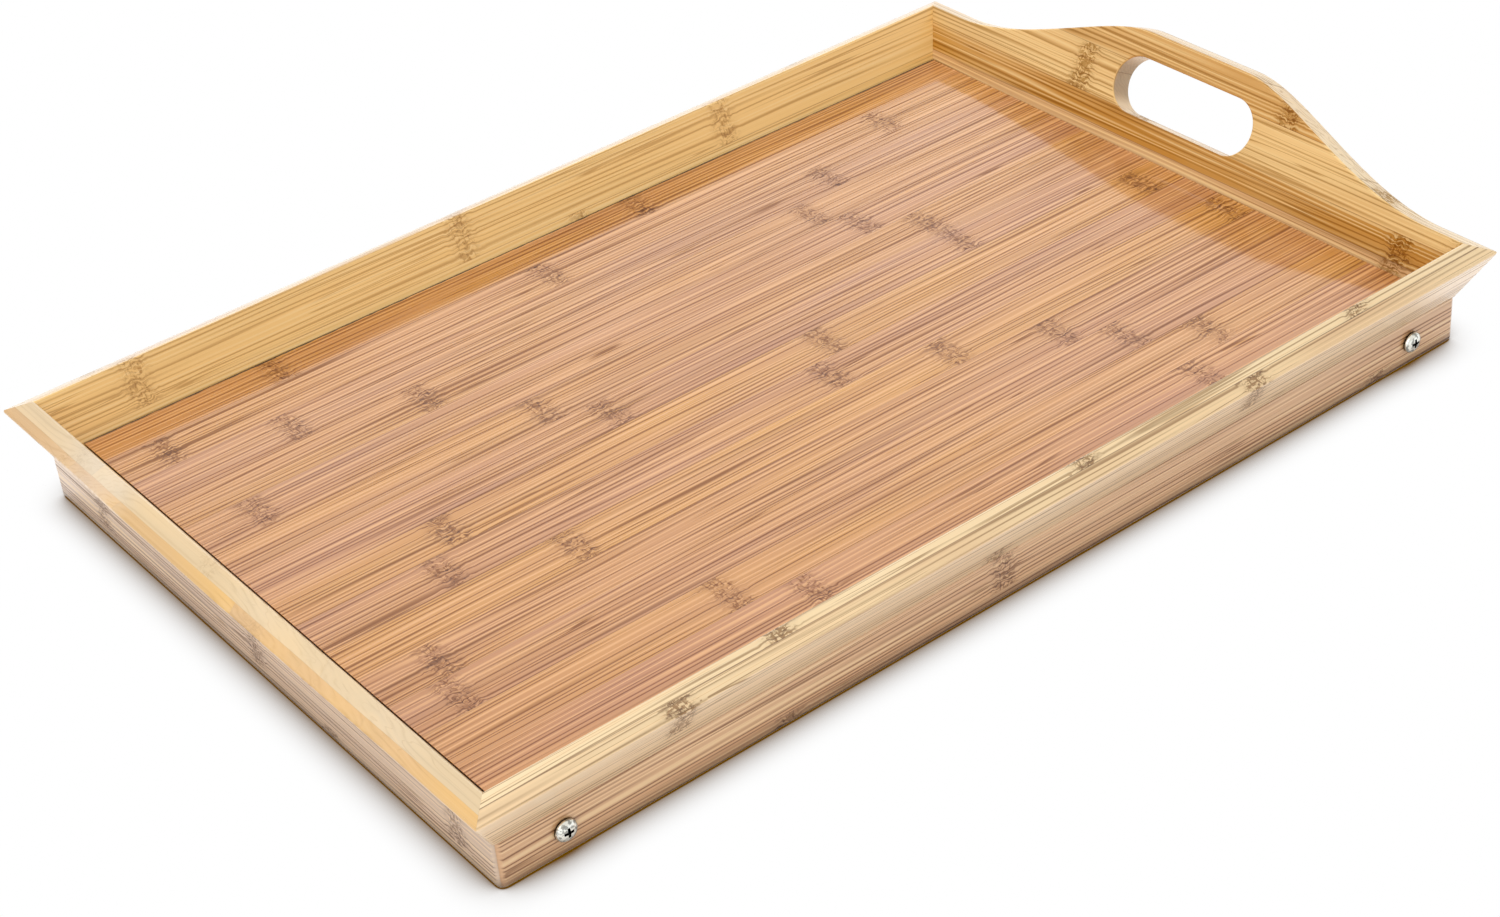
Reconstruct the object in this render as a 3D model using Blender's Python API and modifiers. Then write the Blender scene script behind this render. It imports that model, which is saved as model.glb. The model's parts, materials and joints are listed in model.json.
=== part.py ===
"""Folding bamboo bed tray: flared mitred rim, upright apron and two folding leg frames.

Metres, +Z up. +X runs along the length of the tray and +Y towards the rear rail.
The origin lies on the floor under the middle of the tray, with the legs folded.
"""
import math

import bmesh
import bpy
from mathutils import Matrix, Vector

# Rim of four flared boards: its size over the outer top edges, and its inner top edge's height
RIM_LENGTH = 0.4735
RIM_WIDTH = 0.325
RIM_HEIGHT = 0.0431
BOARD_THICKNESS = 0.0105
FLARE_ANGLE = math.radians(28.5)
TOP_EDGE_ANGLE = math.radians(5.5)
RIM_CORNER_RADIUS = 0.003
BOARD_EASING = 0.0007

# Raised grip of the two handle boards, measured up the board from the rim and along it
HANDLE_RISE = 0.0276
GRIP_HALF_LENGTH = 0.027
SHOULDER_END = 0.136
SHOULDER_TOP_EASE = 0.0255
SHOULDER_FOOT_EASE = 0.041
SLOT_LENGTH = 0.0776
SLOT_HEIGHT = 0.0245
SLOT_ABOVE_RIM = 0.0045

# Upright lower frame
APRON_HEIGHT = 0.0196
APRON_THICKNESS = 0.015
APRON_LEDGE = 0.0006
APRON_LEDGE_EASING = 0.0003
APRON_CORNER_RADIUS = 0.003
APRON_FOOT_EASING = 0.0016

# Panel, which rests on the apron between the boards
PANEL_THICKNESS = 0.0041

# Folding legs
PIVOT_FROM_END = 0.0267
PIVOT_BELOW_APRON_TOP = 0.0089
FEET_GAP = 0.0406
LEG_WIDTH = 0.014
LEG_THICKNESS = 0.0105
LEG_EASING = 0.001
LEG_FOOT_RADIUS = 0.0035
LEG_OPEN_ANGLE = math.radians(100)
STRETCHER_DIAMETER = 0.01
STRETCHER_FROM_FOOT = 0.062
STRETCHER_SOCKET = 0.006
STRETCHER_EASING = 0.0006

# Pivot screws, washers and lock nuts
SCREW_DIAMETER = 0.0045
SCREW_HEAD_DIAMETER = 0.0085
SCREW_HEAD_HEIGHT = 0.0028
SCREW_HEAD_EDGE = 0.0008
SCREW_TIP = 0.0006
SCREW_BEYOND_NUT = 0.0012
RECESS_SPAN = 0.0044
RECESS_WIDTH = 0.0012
RECESS_DEPTH = 0.0017
RECESS_FOOT_SHARE = 0.35
WASHER_DIAMETER = 0.0108
WASHER_THICKNESS = 0.001
NUT_ACROSS_FLATS = 0.008
NUT_THICKNESS = 0.0042
NUT_EASING = 0.0004
NUT_COLLAR_DIAMETER = 0.0068
NUT_COLLAR_HEIGHT = 0.0011

# Clearances and working values
SEAT_GAP = 0.0003
CUT_OVERRUN = 0.01
MERGE_DISTANCE = 0.00001
ROUND_STEPS = 28
HOLE_STEPS = 20
CURVE_STEPS = 14
CORNER_STEPS = 3
FOOT_STEPS = 4
DOME_STEPS = 6
BEVEL_SEGMENTS = 2
NUT_SIDES = 6
SHARP_ANGLE = math.radians(30)
COPLANAR_ANGLE = math.radians(0.1)
RIGHT_ANGLE = math.pi / 2

# Finishes: base colour, roughness, metallic
FINISHES = {
    "bamboo_panel": ((0.66, 0.37, 0.19), 0.32, 0.0),
    "bamboo_rim": ((0.74, 0.49, 0.25), 0.38, 0.0),
    "bamboo_apron": ((0.68, 0.43, 0.22), 0.42, 0.0),
    "bamboo_legs": ((0.72, 0.47, 0.24), 0.42, 0.0),
    "zinc_plated_steel": ((0.74, 0.72, 0.66), 0.28, 1.0),
}

# Outward direction of each side of the tray, and the axis that the side stands across
SIDES = {
    "front": (Vector((0, -1, 0)), 1),
    "rear": (Vector((0, 1, 0)), 1),
    "left": (Vector((-1, 0, 0)), 0),
    "right": (Vector((1, 0, 0)), 0),
}
UP = Vector((0, 0, 1))

# Half sizes of the rim and the apron, worked out down the flare
TOP_RUN = BOARD_THICKNESS * (math.cos(FLARE_ANGLE) + math.tan(TOP_EDGE_ANGLE) * math.sin(FLARE_ANGLE))
TOP_DROP = BOARD_THICKNESS * (math.sin(FLARE_ANGLE) - math.tan(TOP_EDGE_ANGLE) * math.cos(FLARE_ANGLE))
OUTER_TOP_HEIGHT = RIM_HEIGHT - TOP_DROP
BOARD_FOOT = APRON_HEIGHT + SEAT_GAP
OUTER_INSET = (OUTER_TOP_HEIGHT - BOARD_FOOT) * math.tan(FLARE_ANGLE)
INNER_INSET = (RIM_HEIGHT - BOARD_FOOT) * math.tan(FLARE_ANGLE)
RIM_HALF = Vector((RIM_LENGTH, RIM_WIDTH)) / 2
INNER_HALF = RIM_HALF - Vector((TOP_RUN, TOP_RUN))
APRON_INSET = OUTER_INSET - APRON_LEDGE
APRON_HALF = RIM_HALF - Vector((APRON_INSET, APRON_INSET))
APRON_INNER_HALF = APRON_HALF - Vector((APRON_THICKNESS, APRON_THICKNESS))

# Places of the pivot, of the leg's foot and stretcher from it, and places along its screw
# measured from the middle of the tray
PIVOT_FROM_MIDDLE = APRON_HALF.x - PIVOT_FROM_END
PIVOT_HEIGHT = APRON_HEIGHT - PIVOT_BELOW_APRON_TOP
LEG_LENGTH = PIVOT_FROM_MIDDLE - FEET_GAP / 2
STRETCHER_FROM_PIVOT = LEG_LENGTH - STRETCHER_FROM_FOOT
SCREW_SEAT = APRON_HALF.y + SEAT_GAP
WASHER_INNER = APRON_INNER_HALF.y - SEAT_GAP - WASHER_THICKNESS
LEG_OUTER = WASHER_INNER - SEAT_GAP
LEG_INNER = LEG_OUTER - LEG_THICKNESS
NUT_INNER = LEG_INNER - SEAT_GAP - NUT_THICKNESS
SCREW_END = NUT_INNER - SCREW_BEYOND_NUT
SCREW_HOLE_RADIUS = SCREW_DIAMETER / 2 + SEAT_GAP
SOCKET_RADIUS = STRETCHER_DIAMETER / 2 + SEAT_GAP

# Head of a leg beyond its pivot: its square corner meets the panel when the leg stands
LEG_SPLAY = LEG_OPEN_ANGLE - RIGHT_ANGLE
HEAD_ROOM = BOARD_FOOT - PIVOT_HEIGHT - SEAT_GAP
LEG_HEAD = (HEAD_ROOM - math.sin(LEG_SPLAY) * LEG_WIDTH / 2) / math.cos(LEG_SPLAY)


def clear_scene():
    """Removes whatever the scene held."""
    for obj in list(bpy.data.objects):
        bpy.data.objects.remove(obj)


def make_collection(name):
    """A new collection in the scene."""
    collection = bpy.data.collections.new(name)
    bpy.context.scene.collection.children.link(collection)
    return collection


def make_material(name):
    """The Principled material of a finish."""
    color, roughness, metallic = FINISHES[name]
    material = bpy.data.materials.new(name)
    material.use_nodes = True
    shader = material.node_tree.nodes["Principled BSDF"]
    shader.inputs["Base Color"].default_value = (*color, 1)
    shader.inputs["Roughness"].default_value = roughness
    shader.inputs["Metallic"].default_value = metallic
    material.diffuse_color = (*color, 1)
    return material


def add_object(name, mesh, collection, matrix=None):
    """An object for a mesh, placed by a matrix."""
    obj = bpy.data.objects.new(name, mesh)
    collection.objects.link(obj)
    if matrix is not None:
        obj.matrix_world = matrix
    return obj


def add_cutter(name, mesh, collection, matrix):
    """A solid that only cuts or joins: shown as wire and never rendered."""
    cutter = add_object(name, mesh, collection, matrix)
    cutter.display_type = "WIRE"
    cutter.hide_render = True
    return cutter


def facing(outward, place):
    """A placement with Z outwards, Y up and X along the side."""
    matrix = Matrix((UP.cross(outward), UP, outward)).transposed().to_4x4()
    matrix.translation = place
    return matrix


def arc(center, radius, start, end, steps):
    """Points along an arc from one angle to another, both ends included."""
    points = []
    for step in range(steps + 1):
        angle = start + (end - start) * step / steps
        points.append(center + Vector((math.cos(angle), math.sin(angle))) * radius)
    return points


def circle(center, radius, steps):
    """Points round a whole circle."""
    return arc(center, radius, 0, 2 * math.pi, steps)[:-1]


def fillet(before, corner, after, radius, steps):
    """Points of the arc that rounds a corner between two straight edges."""
    to_before = (before - corner).normalized()
    to_after = (after - corner).normalized()
    half_angle = to_before.angle(to_after) / 2
    center = corner + (to_before + to_after).normalized() * radius / math.sin(half_angle)
    start = (corner + to_before * radius / math.tan(half_angle) - center).normalized()
    end = (corner + to_after * radius / math.tan(half_angle) - center).normalized()
    return [center + start.slerp(end, step / steps) * radius for step in range(steps + 1)]


def bezier(start, start_handle, end_handle, end, steps):
    """Points along a cubic curve, both ends included."""
    points = []
    for step in range(steps + 1):
        share = step / steps
        rest = 1 - share
        first = start * rest**3 + start_handle * 3 * rest**2 * share
        second = end_handle * 3 * rest * share**2 + end * share**3
        points.append(first + second)
    return points


def slab(name, outlines, thickness):
    """A flat solid from closed outlines in X and Y, from z = 0 to its thickness."""
    curve = bpy.data.curves.new(name, "CURVE")
    curve.dimensions = "2D"
    curve.fill_mode = "BOTH"
    curve.extrude = thickness / 2
    for outline in outlines:
        spline = curve.splines.new("POLY")
        spline.points.add(len(outline) - 1)
        for point, place in zip(spline.points, outline):
            point.co = (place.x, place.y, 0, 1)
        spline.use_cyclic_u = True
    guide = bpy.data.objects.new(name + "_outline", curve)
    bpy.context.scene.collection.objects.link(guide)
    depsgraph = bpy.context.evaluated_depsgraph_get()
    mesh = bpy.data.meshes.new_from_object(guide.evaluated_get(depsgraph))
    mesh.name = name
    bpy.data.objects.remove(guide)
    bpy.data.curves.remove(curve)
    bm = bmesh.new()
    bm.from_mesh(mesh)
    bmesh.ops.remove_doubles(bm, verts=bm.verts, dist=MERGE_DISTANCE)
    bmesh.ops.dissolve_limit(bm, angle_limit=COPLANAR_ANGLE, verts=bm.verts, edges=bm.edges)
    bmesh.ops.translate(bm, vec=(0, 0, thickness / 2), verts=bm.verts)
    bmesh.ops.recalc_face_normals(bm, faces=bm.faces)
    bm.to_mesh(mesh)
    bm.free()
    return mesh


def cylinder(name, radius, length, steps):
    """A round mesh along Z, centred on the origin."""
    bm = bmesh.new()
    bmesh.ops.create_cone(bm, cap_ends=True, segments=steps, radius1=radius, radius2=radius, depth=length)
    mesh = bpy.data.meshes.new(name)
    bm.to_mesh(mesh)
    bm.free()
    return mesh


def box(name, size, place):
    """A box mesh of a size, centred on a place."""
    bm = bmesh.new()
    bmesh.ops.create_cube(bm, size=1)
    bmesh.ops.scale(bm, vec=size, verts=bm.verts)
    bmesh.ops.translate(bm, vec=place, verts=bm.verts)
    mesh = bpy.data.meshes.new(name)
    bm.to_mesh(mesh)
    bm.free()
    return mesh


def cut_by_planes(mesh, planes):
    """Cuts off what lies in front of each plane, and closes the solid again."""
    bm = bmesh.new()
    bm.from_mesh(mesh)
    for place, normal in planes:
        geometry = bm.verts[:] + bm.edges[:] + bm.faces[:]
        result = bmesh.ops.bisect_plane(
            bm,
            geom=geometry,
            dist=MERGE_DISTANCE,
            plane_co=place,
            plane_no=normal.normalized(),
            clear_outer=True,
        )
        rim = [item for item in result["geom_cut"] if isinstance(item, bmesh.types.BMEdge)]
        bmesh.ops.edgenet_fill(bm, edges=rim)
    bmesh.ops.recalc_face_normals(bm, faces=bm.faces)
    bm.to_mesh(mesh)
    bm.free()


def lies_in(edge, plane):
    """Whether both ends of an edge lie in a plane."""
    place, normal = plane
    across = normal.normalized()
    return all(abs((vert.co - place).dot(across)) < 2 * MERGE_DISTANCE for vert in edge.verts)


def mark_eased(mesh, weight_of):
    """Gives each sharp edge of a mesh the bevel weight that a function returns for it."""
    bm = bmesh.new()
    bm.from_mesh(mesh)
    layer = bm.edges.layers.float.new("bevel_weight_edge")
    for edge in bm.edges:
        if edge.calc_face_angle() > SHARP_ANGLE:
            edge[layer] = weight_of(edge)
    bm.to_mesh(mesh)
    bm.free()


def add_bevel(obj, width, limit="WEIGHT"):
    """Rounds the marked edges, or every sharp one."""
    bevel = obj.modifiers.new("eased_edges", "BEVEL")
    bevel.limit_method = limit
    bevel.angle_limit = SHARP_ANGLE
    bevel.width = width
    bevel.segments = BEVEL_SEGMENTS
    bevel.use_clamp_overlap = False


def add_boolean(obj, other, operation="DIFFERENCE"):
    """Cuts another solid out of an object, or joins it on."""
    modifier = obj.modifiers.new(other.name, "BOOLEAN")
    modifier.operation = operation
    modifier.solver = "EXACT"
    modifier.object = other


def bake_modifiers(obj):
    """Makes an object's evaluated shape its own mesh."""
    bpy.context.view_layer.update()
    depsgraph = bpy.context.evaluated_depsgraph_get()
    mesh = bpy.data.meshes.new_from_object(obj.evaluated_get(depsgraph))
    obj.modifiers.clear()
    plain = obj.data
    obj.data = mesh
    bpy.data.meshes.remove(plain)
    mesh.name = obj.name


def finish(obj, material):
    """Gives an object its material and smooth shading between its sharp edges."""
    if not obj.data.materials:
        obj.data.materials.append(material)
    obj.data.shade_smooth()
    obj.data.set_sharp_from_angle(angle=SHARP_ANGLE)


def mitre_planes(side, half):
    """The two upright 45 degree planes that end a side whose corners lie at the half sizes."""
    outward, axis = SIDES[side]
    along = UP.cross(outward)
    planes = []
    for direction in (along, -along):
        corner = outward * half[axis] + direction * half[1 - axis]
        normal = (direction - outward).normalized()
        planes.append((corner - normal * SEAT_GAP / 2, normal))
    return planes


def corner_planes(side, half, height, radius, flare):
    """Planes tangent to the arc that rounds a side's outer corners, half sizes given at a height."""
    outward, axis = SIDES[side]
    along = UP.cross(outward)
    planes = []
    for direction in (along, -along):
        flat_center = outward * (half[axis] - radius) + direction * (half[1 - axis] - radius)
        for step in range(1, CORNER_STEPS + 1):
            angle = RIGHT_ANGLE / 2 * step / CORNER_STEPS
            across = outward * math.cos(angle) + direction * math.sin(angle)
            lean = math.tan(flare) * (math.cos(angle) + math.sin(angle))
            planes.append((flat_center + UP * height + across * radius, across - UP * lean))
    return planes


def board_frame(side):
    """Placement of a flared board: X along it, Y up its inner face, Z outwards through it."""
    outward, axis = SIDES[side]
    up_board = outward * math.sin(FLARE_ANGLE) + UP * math.cos(FLARE_ANGLE)
    through = outward * math.cos(FLARE_ANGLE) - UP * math.sin(FLARE_ANGLE)
    matrix = Matrix((UP.cross(outward), up_board, through)).transposed().to_4x4()
    matrix.translation = outward * INNER_HALF[axis] + UP * RIM_HEIGHT
    return matrix


def board_blank(name, half_length, top):
    """A board as a flat slab with the given top edge, planed flatter than square along it."""
    foot = -(RIM_HEIGHT - BOARD_FOOT) / math.cos(FLARE_ANGLE) - CUT_OVERRUN
    outline = [Vector((-half_length, foot)), Vector((half_length, foot)), *top]
    mesh = slab(name, [outline], BOARD_THICKNESS)
    for vert in mesh.vertices:
        if vert.co.z > BOARD_THICKNESS / 2 and vert.co.y > foot / 2:
            vert.co.y += BOARD_THICKNESS * math.tan(TOP_EDGE_ANGLE)
    return mesh


def cut_board(mesh, side):
    """Ends a board at its mitres and its level foot, and rounds its outer corners."""
    to_board = board_frame(side).inverted()
    turn = to_board.to_3x3()
    mitres = mitre_planes(side, INNER_HALF)
    foot = (UP * BOARD_FOOT, -UP)
    corners = corner_planes(side, RIM_HALF, OUTER_TOP_HEIGHT, RIM_CORNER_RADIUS, FLARE_ANGLE)
    cut_by_planes(mesh, [(to_board @ place, turn @ normal) for place, normal in [*mitres, foot, *corners]])
    return [(to_board @ place, turn @ normal) for place, normal in [*mitres, foot]]


def ease_board(obj, glued):
    """Rounds a board's edges, apart from those that lie in its glued joints."""
    mark_eased(obj.data, lambda edge: 0 if any(lies_in(edge, plane) for plane in glued) else 1)
    add_bevel(obj, BOARD_EASING)


def make_rail(side, collection, material):
    """A long flared board with a straight top edge."""
    half_length = RIM_HALF.x + CUT_OVERRUN
    name = side + "_rail"
    mesh = board_blank(name, half_length, [Vector((half_length, 0)), Vector((-half_length, 0))])
    glued = cut_board(mesh, side)
    obj = add_object(name, mesh, collection, board_frame(side))
    ease_board(obj, glued)
    finish(obj, material)


def handle_top(half_length):
    """The top edge of a handle board: level, up an S-shaped shoulder, the grip, and down again."""
    foot = Vector((SHOULDER_END, 0))
    grip = Vector((GRIP_HALF_LENGTH, HANDLE_RISE))
    foot_handle = foot - Vector((SHOULDER_FOOT_EASE, 0))
    grip_handle = grip + Vector((SHOULDER_TOP_EASE, 0))
    shoulder = bezier(foot, foot_handle, grip_handle, grip, CURVE_STEPS)
    half = [Vector((half_length, 0)), *shoulder]
    return half + [Vector((-point.x, point.y)) for point in reversed(half)]


def slot_cutter(side, collection):
    """The long rounded hand slot, as a solid that passes right through the board."""
    radius = SLOT_HEIGHT / 2
    reach = SLOT_LENGTH / 2 - radius
    outline = arc(Vector((reach, SLOT_ABOVE_RIM)), radius, -RIGHT_ANGLE, RIGHT_ANGLE, CURVE_STEPS)
    outline += arc(Vector((-reach, SLOT_ABOVE_RIM)), radius, RIGHT_ANGLE, 3 * RIGHT_ANGLE, CURVE_STEPS)
    mesh = slab(side + "_slot", [outline], BOARD_THICKNESS + 2 * CUT_OVERRUN)
    matrix = board_frame(side) @ Matrix.Translation((0, 0, -CUT_OVERRUN))
    return add_cutter(side + "_slot", mesh, collection, matrix)


def make_handle_board(side, collection, cutters, material):
    """A short flared board that rises to a grip over its hand slot."""
    name = side + "_handle_board"
    half_length = RIM_HALF.y + CUT_OVERRUN
    mesh = board_blank(name, half_length, handle_top(half_length))
    glued = cut_board(mesh, side)
    obj = add_object(name, mesh, collection, board_frame(side))
    add_boolean(obj, slot_cutter(side, cutters))
    bake_modifiers(obj)
    ease_board(obj, glued)
    finish(obj, material)


def make_apron(side, collection, cutters, material):
    """An upright strip of the lower frame, with mitred ends and an eased outer foot."""
    outward, axis = SIDES[side]
    along = UP.cross(outward)
    name = side + "_apron"
    extent = along * 2 * APRON_HALF[1 - axis] + outward * APRON_THICKNESS + UP * APRON_HEIGHT
    size = Vector([abs(value) for value in extent])
    place = outward * (APRON_HALF[axis] - APRON_THICKNESS / 2) + UP * APRON_HEIGHT / 2
    mesh = box(name, size, place)
    mitres = mitre_planes(side, APRON_HALF)
    cut_by_planes(mesh, mitres + corner_planes(side, APRON_HALF, 0, APRON_CORNER_RADIUS, 0))
    obj = add_object(name, mesh, collection)
    if axis == 1:
        for end in ("left", "right"):
            add_boolean(obj, screw_hole_cutter(side, end, cutters))
        bake_modifiers(obj)
    sharp_planes = [*mitres, (outward * APRON_INNER_HALF[axis], outward)]
    foot, top = (Vector(), UP), (UP * APRON_HEIGHT, UP)

    def weight(edge):
        if any(lies_in(edge, plane) for plane in sharp_planes):
            return 0
        if lies_in(edge, foot):
            return 1
        return APRON_LEDGE_EASING / APRON_FOOT_EASING if lies_in(edge, top) else 0

    mark_eased(obj.data, weight)
    add_bevel(obj, APRON_FOOT_EASING)
    finish(obj, material)


def pivot_place(side, end, from_middle):
    """A point on the pivot axis of one corner, at a distance from the middle of the tray."""
    return SIDES[side][0] * from_middle + SIDES[end][0] * PIVOT_FROM_MIDDLE + UP * PIVOT_HEIGHT


def screw_hole_cutter(side, end, collection):
    """The clearance hole of a pivot screw through an apron."""
    name = side + "_" + end + "_hole"
    mesh = cylinder(name, SCREW_HOLE_RADIUS, APRON_THICKNESS + 2 * CUT_OVERRUN, HOLE_STEPS)
    place = pivot_place(side, end, APRON_HALF.y - APRON_THICKNESS / 2)
    return add_cutter(name, mesh, collection, facing(SIDES[side][0], place))


def make_panel(collection, material):
    """The panel, its edges bevelled to the flare of the boards that it lies between."""
    clearance = SEAT_GAP / math.cos(FLARE_ANGLE)
    foot_half = INNER_HALF - Vector((INNER_INSET + clearance, INNER_INSET + clearance))
    middle = BOARD_FOOT + PANEL_THICKNESS / 2
    mesh = box("tray_panel", (2 * foot_half.x, 2 * foot_half.y, PANEL_THICKNESS), (0, 0, middle))
    spread = PANEL_THICKNESS * math.tan(FLARE_ANGLE)
    for vert in mesh.vertices:
        if vert.co.z > middle:
            vert.co.x += math.copysign(spread, vert.co.x)
            vert.co.y += math.copysign(spread, vert.co.y)
    obj = add_object("tray_panel", mesh, collection)
    finish(obj, material)


def leg_outline():
    """A folded leg seen along its pivot: the pivot at the origin, the foot towards +X, +Y up.

    The upper corner of the head is rounded, so that it clears the panel as the leg swings.
    The lower one is square: it meets the panel when the leg stands. The foot is level then.
    """
    half = LEG_WIDTH / 2
    slope = half * math.tan(LEG_SPLAY)
    low_head, high_head = Vector((-LEG_HEAD, -half)), Vector((-LEG_HEAD, half))
    low_foot, high_foot = Vector((LEG_LENGTH + slope, -half)), Vector((LEG_LENGTH - slope, half))
    return [
        low_head,
        *fillet(low_head, low_foot, high_foot, LEG_FOOT_RADIUS, FOOT_STEPS),
        *fillet(low_foot, high_foot, high_head, LEG_FOOT_RADIUS, FOOT_STEPS),
        *fillet(high_foot, high_head, low_head, half, CURVE_STEPS),
    ]


def leg_mesh(name, socket_height, cutters):
    """A leg with its pivot hole, and a blind stretcher socket in the face at a height."""
    hole = circle(Vector((0, 0)), SCREW_HOLE_RADIUS, HOLE_STEPS)
    obj = add_object(name, slab(name, [leg_outline(), hole], LEG_THICKNESS), cutters)
    socket = cylinder(name + "_socket", SOCKET_RADIUS, 2 * STRETCHER_SOCKET, ROUND_STEPS)
    place = Matrix.Translation((STRETCHER_FROM_PIVOT, 0, socket_height))
    add_boolean(obj, add_cutter(name + "_socket", socket, cutters, place))
    bake_modifiers(obj)
    mesh = obj.data
    bpy.data.objects.remove(obj)
    middles = (Vector((0, 0, 0)), Vector((STRETCHER_FROM_PIVOT, 0, 0)))

    def weight(edge):
        start, end = (vert.co for vert in edge.verts)
        in_hole = any((start - middle).to_2d().length < LEG_WIDTH / 2 - LEG_EASING for middle in middles)
        runs_through = abs(end.z - start.z) > LEG_THICKNESS / 2
        return 0 if in_hole or runs_through else 1

    mark_eased(mesh, weight)
    return mesh


def make_leg_frame(end, meshes, collection, material):
    """Two legs and their stretcher, carried by an empty on their pivot axis."""
    pivot = bpy.data.objects.new(end + "_leg_pivot", None)
    collection.objects.link(pivot)
    pivot.location = SIDES[end][0] * PIVOT_FROM_MIDDLE + UP * PIVOT_HEIGHT
    to_foot = -SIDES[end][0]
    through = to_foot.cross(UP)
    for side in ("front", "rear"):
        outward = SIDES[side][0]
        runs_inwards = through.dot(outward) < 0
        leg = add_object(side + "_" + end + "_leg", meshes[runs_inwards].copy(), collection)
        matrix = Matrix((to_foot, UP, through)).transposed().to_4x4()
        matrix.translation = outward * (LEG_OUTER if runs_inwards else LEG_INNER)
        leg.parent = pivot
        leg.matrix_local = matrix
        add_bevel(leg, LEG_EASING)
        finish(leg, material)
    length = 2 * (LEG_INNER + STRETCHER_SOCKET - SEAT_GAP)
    mesh = cylinder(end + "_stretcher", STRETCHER_DIAMETER / 2, length, ROUND_STEPS)
    stretcher = add_object(end + "_stretcher", mesh, collection)
    stretcher.parent = pivot
    stretcher.matrix_local = facing(SIDES["front"][0], to_foot * STRETCHER_FROM_PIVOT)
    add_bevel(stretcher, STRETCHER_EASING, "ANGLE")
    finish(stretcher, material)


def recess_cutter(collection):
    """A tapered cross for the driver, its span and width given where it leaves the head."""
    half_span, half_width = RECESS_SPAN / 2, RECESS_WIDTH / 2
    arm = [Vector((half_span, -half_width)), Vector((half_span, half_width)), Vector((half_width, half_width))]
    outline = []
    for quarter in range(4):
        turn = Matrix.Rotation(quarter * RIGHT_ANGLE, 2)
        outline += [turn @ point for point in arm]
    height = RECESS_DEPTH + CUT_OVERRUN
    mesh = slab("driver_recess", [outline], height)
    top_share = RECESS_FOOT_SHARE + (1 - RECESS_FOOT_SHARE) * height / RECESS_DEPTH
    for vert in mesh.vertices:
        share = top_share if vert.co.z > height / 2 else RECESS_FOOT_SHARE
        vert.co.x *= share
        vert.co.y *= share
    place = Matrix.Translation((0, 0, SCREW_HEAD_HEIGHT - RECESS_DEPTH))
    return add_cutter("driver_recess", mesh, collection, place)


def screw_mesh(cutters):
    """A pan head screw turned about Z, head up, seated at z = 0, with a cross recess."""
    head, shank = SCREW_HEAD_DIAMETER / 2, SCREW_DIAMETER / 2
    dome = SCREW_HEAD_HEIGHT - SCREW_HEAD_EDGE
    tip = SCREW_SEAT - SCREW_END
    profile = []
    for step in range(DOME_STEPS + 1):
        angle = RIGHT_ANGLE * step / DOME_STEPS
        profile.append((head * math.sin(angle), SCREW_HEAD_EDGE + dome * math.cos(angle)))
    profile += [(head, 0), (shank, 0), (shank, SCREW_TIP - tip), (shank - SCREW_TIP, -tip), (0, -tip)]
    bm = bmesh.new()
    verts = [bm.verts.new((x, 0, z)) for x, z in profile]
    for upper, lower in zip(verts, verts[1:]):
        bm.edges.new((upper, lower))
    mesh = bpy.data.meshes.new("pivot_screw")
    bm.to_mesh(mesh)
    bm.free()
    obj = add_object("pivot_screw", mesh, cutters)
    turning = obj.modifiers.new("turned", "SCREW")
    turning.steps = ROUND_STEPS
    turning.render_steps = ROUND_STEPS
    turning.use_merge_vertices = True
    turning.merge_threshold = MERGE_DISTANCE
    add_boolean(obj, recess_cutter(cutters))
    bake_modifiers(obj)
    mesh = obj.data
    bpy.data.objects.remove(obj)
    return mesh


def washer_mesh():
    """A flat washer, from z = 0 to its thickness."""
    center = Vector((0, 0))
    rings = [circle(center, WASHER_DIAMETER / 2, ROUND_STEPS), circle(center, SCREW_HOLE_RADIUS, HOLE_STEPS)]
    return slab("pivot_washer", rings, WASHER_THICKNESS)


def nut_mesh(cutters):
    """A lock nut: a hexagon that bears on the leg at the top, over a round collar."""
    corner_radius = NUT_ACROSS_FLATS / 2 / math.cos(math.pi / NUT_SIDES)
    hexagon = circle(Vector((0, 0)), corner_radius, NUT_SIDES)
    mesh = slab("lock_nut", [hexagon], NUT_THICKNESS - NUT_COLLAR_HEIGHT)
    mesh.transform(Matrix.Translation((0, 0, NUT_COLLAR_HEIGHT)))
    obj = add_object("lock_nut", mesh, cutters)
    add_bevel(obj, NUT_EASING, "ANGLE")
    collar = cylinder("lock_nut_collar", NUT_COLLAR_DIAMETER / 2, 2 * NUT_COLLAR_HEIGHT, ROUND_STEPS)
    bore = cylinder("lock_nut_bore", SCREW_HOLE_RADIUS, 2 * CUT_OVERRUN, HOLE_STEPS)
    collar_place = Matrix.Translation((0, 0, NUT_COLLAR_HEIGHT))
    add_boolean(obj, add_cutter("lock_nut_collar", collar, cutters, collar_place), "UNION")
    add_boolean(obj, add_cutter("lock_nut_bore", bore, cutters, Matrix()))
    bake_modifiers(obj)
    mesh = obj.data
    bpy.data.objects.remove(obj)
    return mesh


def make_pivots(collection, cutters, material):
    """The screw, washer and lock nut of each corner, threaded on its pivot axis."""
    kinds = (
        ("screw", screw_mesh(cutters), SCREW_SEAT),
        ("washer", washer_mesh(), WASHER_INNER),
        ("nut", nut_mesh(cutters), NUT_INNER),
    )
    for side in ("front", "rear"):
        for end in ("left", "right"):
            for kind, mesh, from_middle in kinds:
                matrix = facing(SIDES[side][0], pivot_place(side, end, from_middle))
                obj = add_object("_".join((side, end, kind)), mesh, collection, matrix)
                finish(obj, material)


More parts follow.
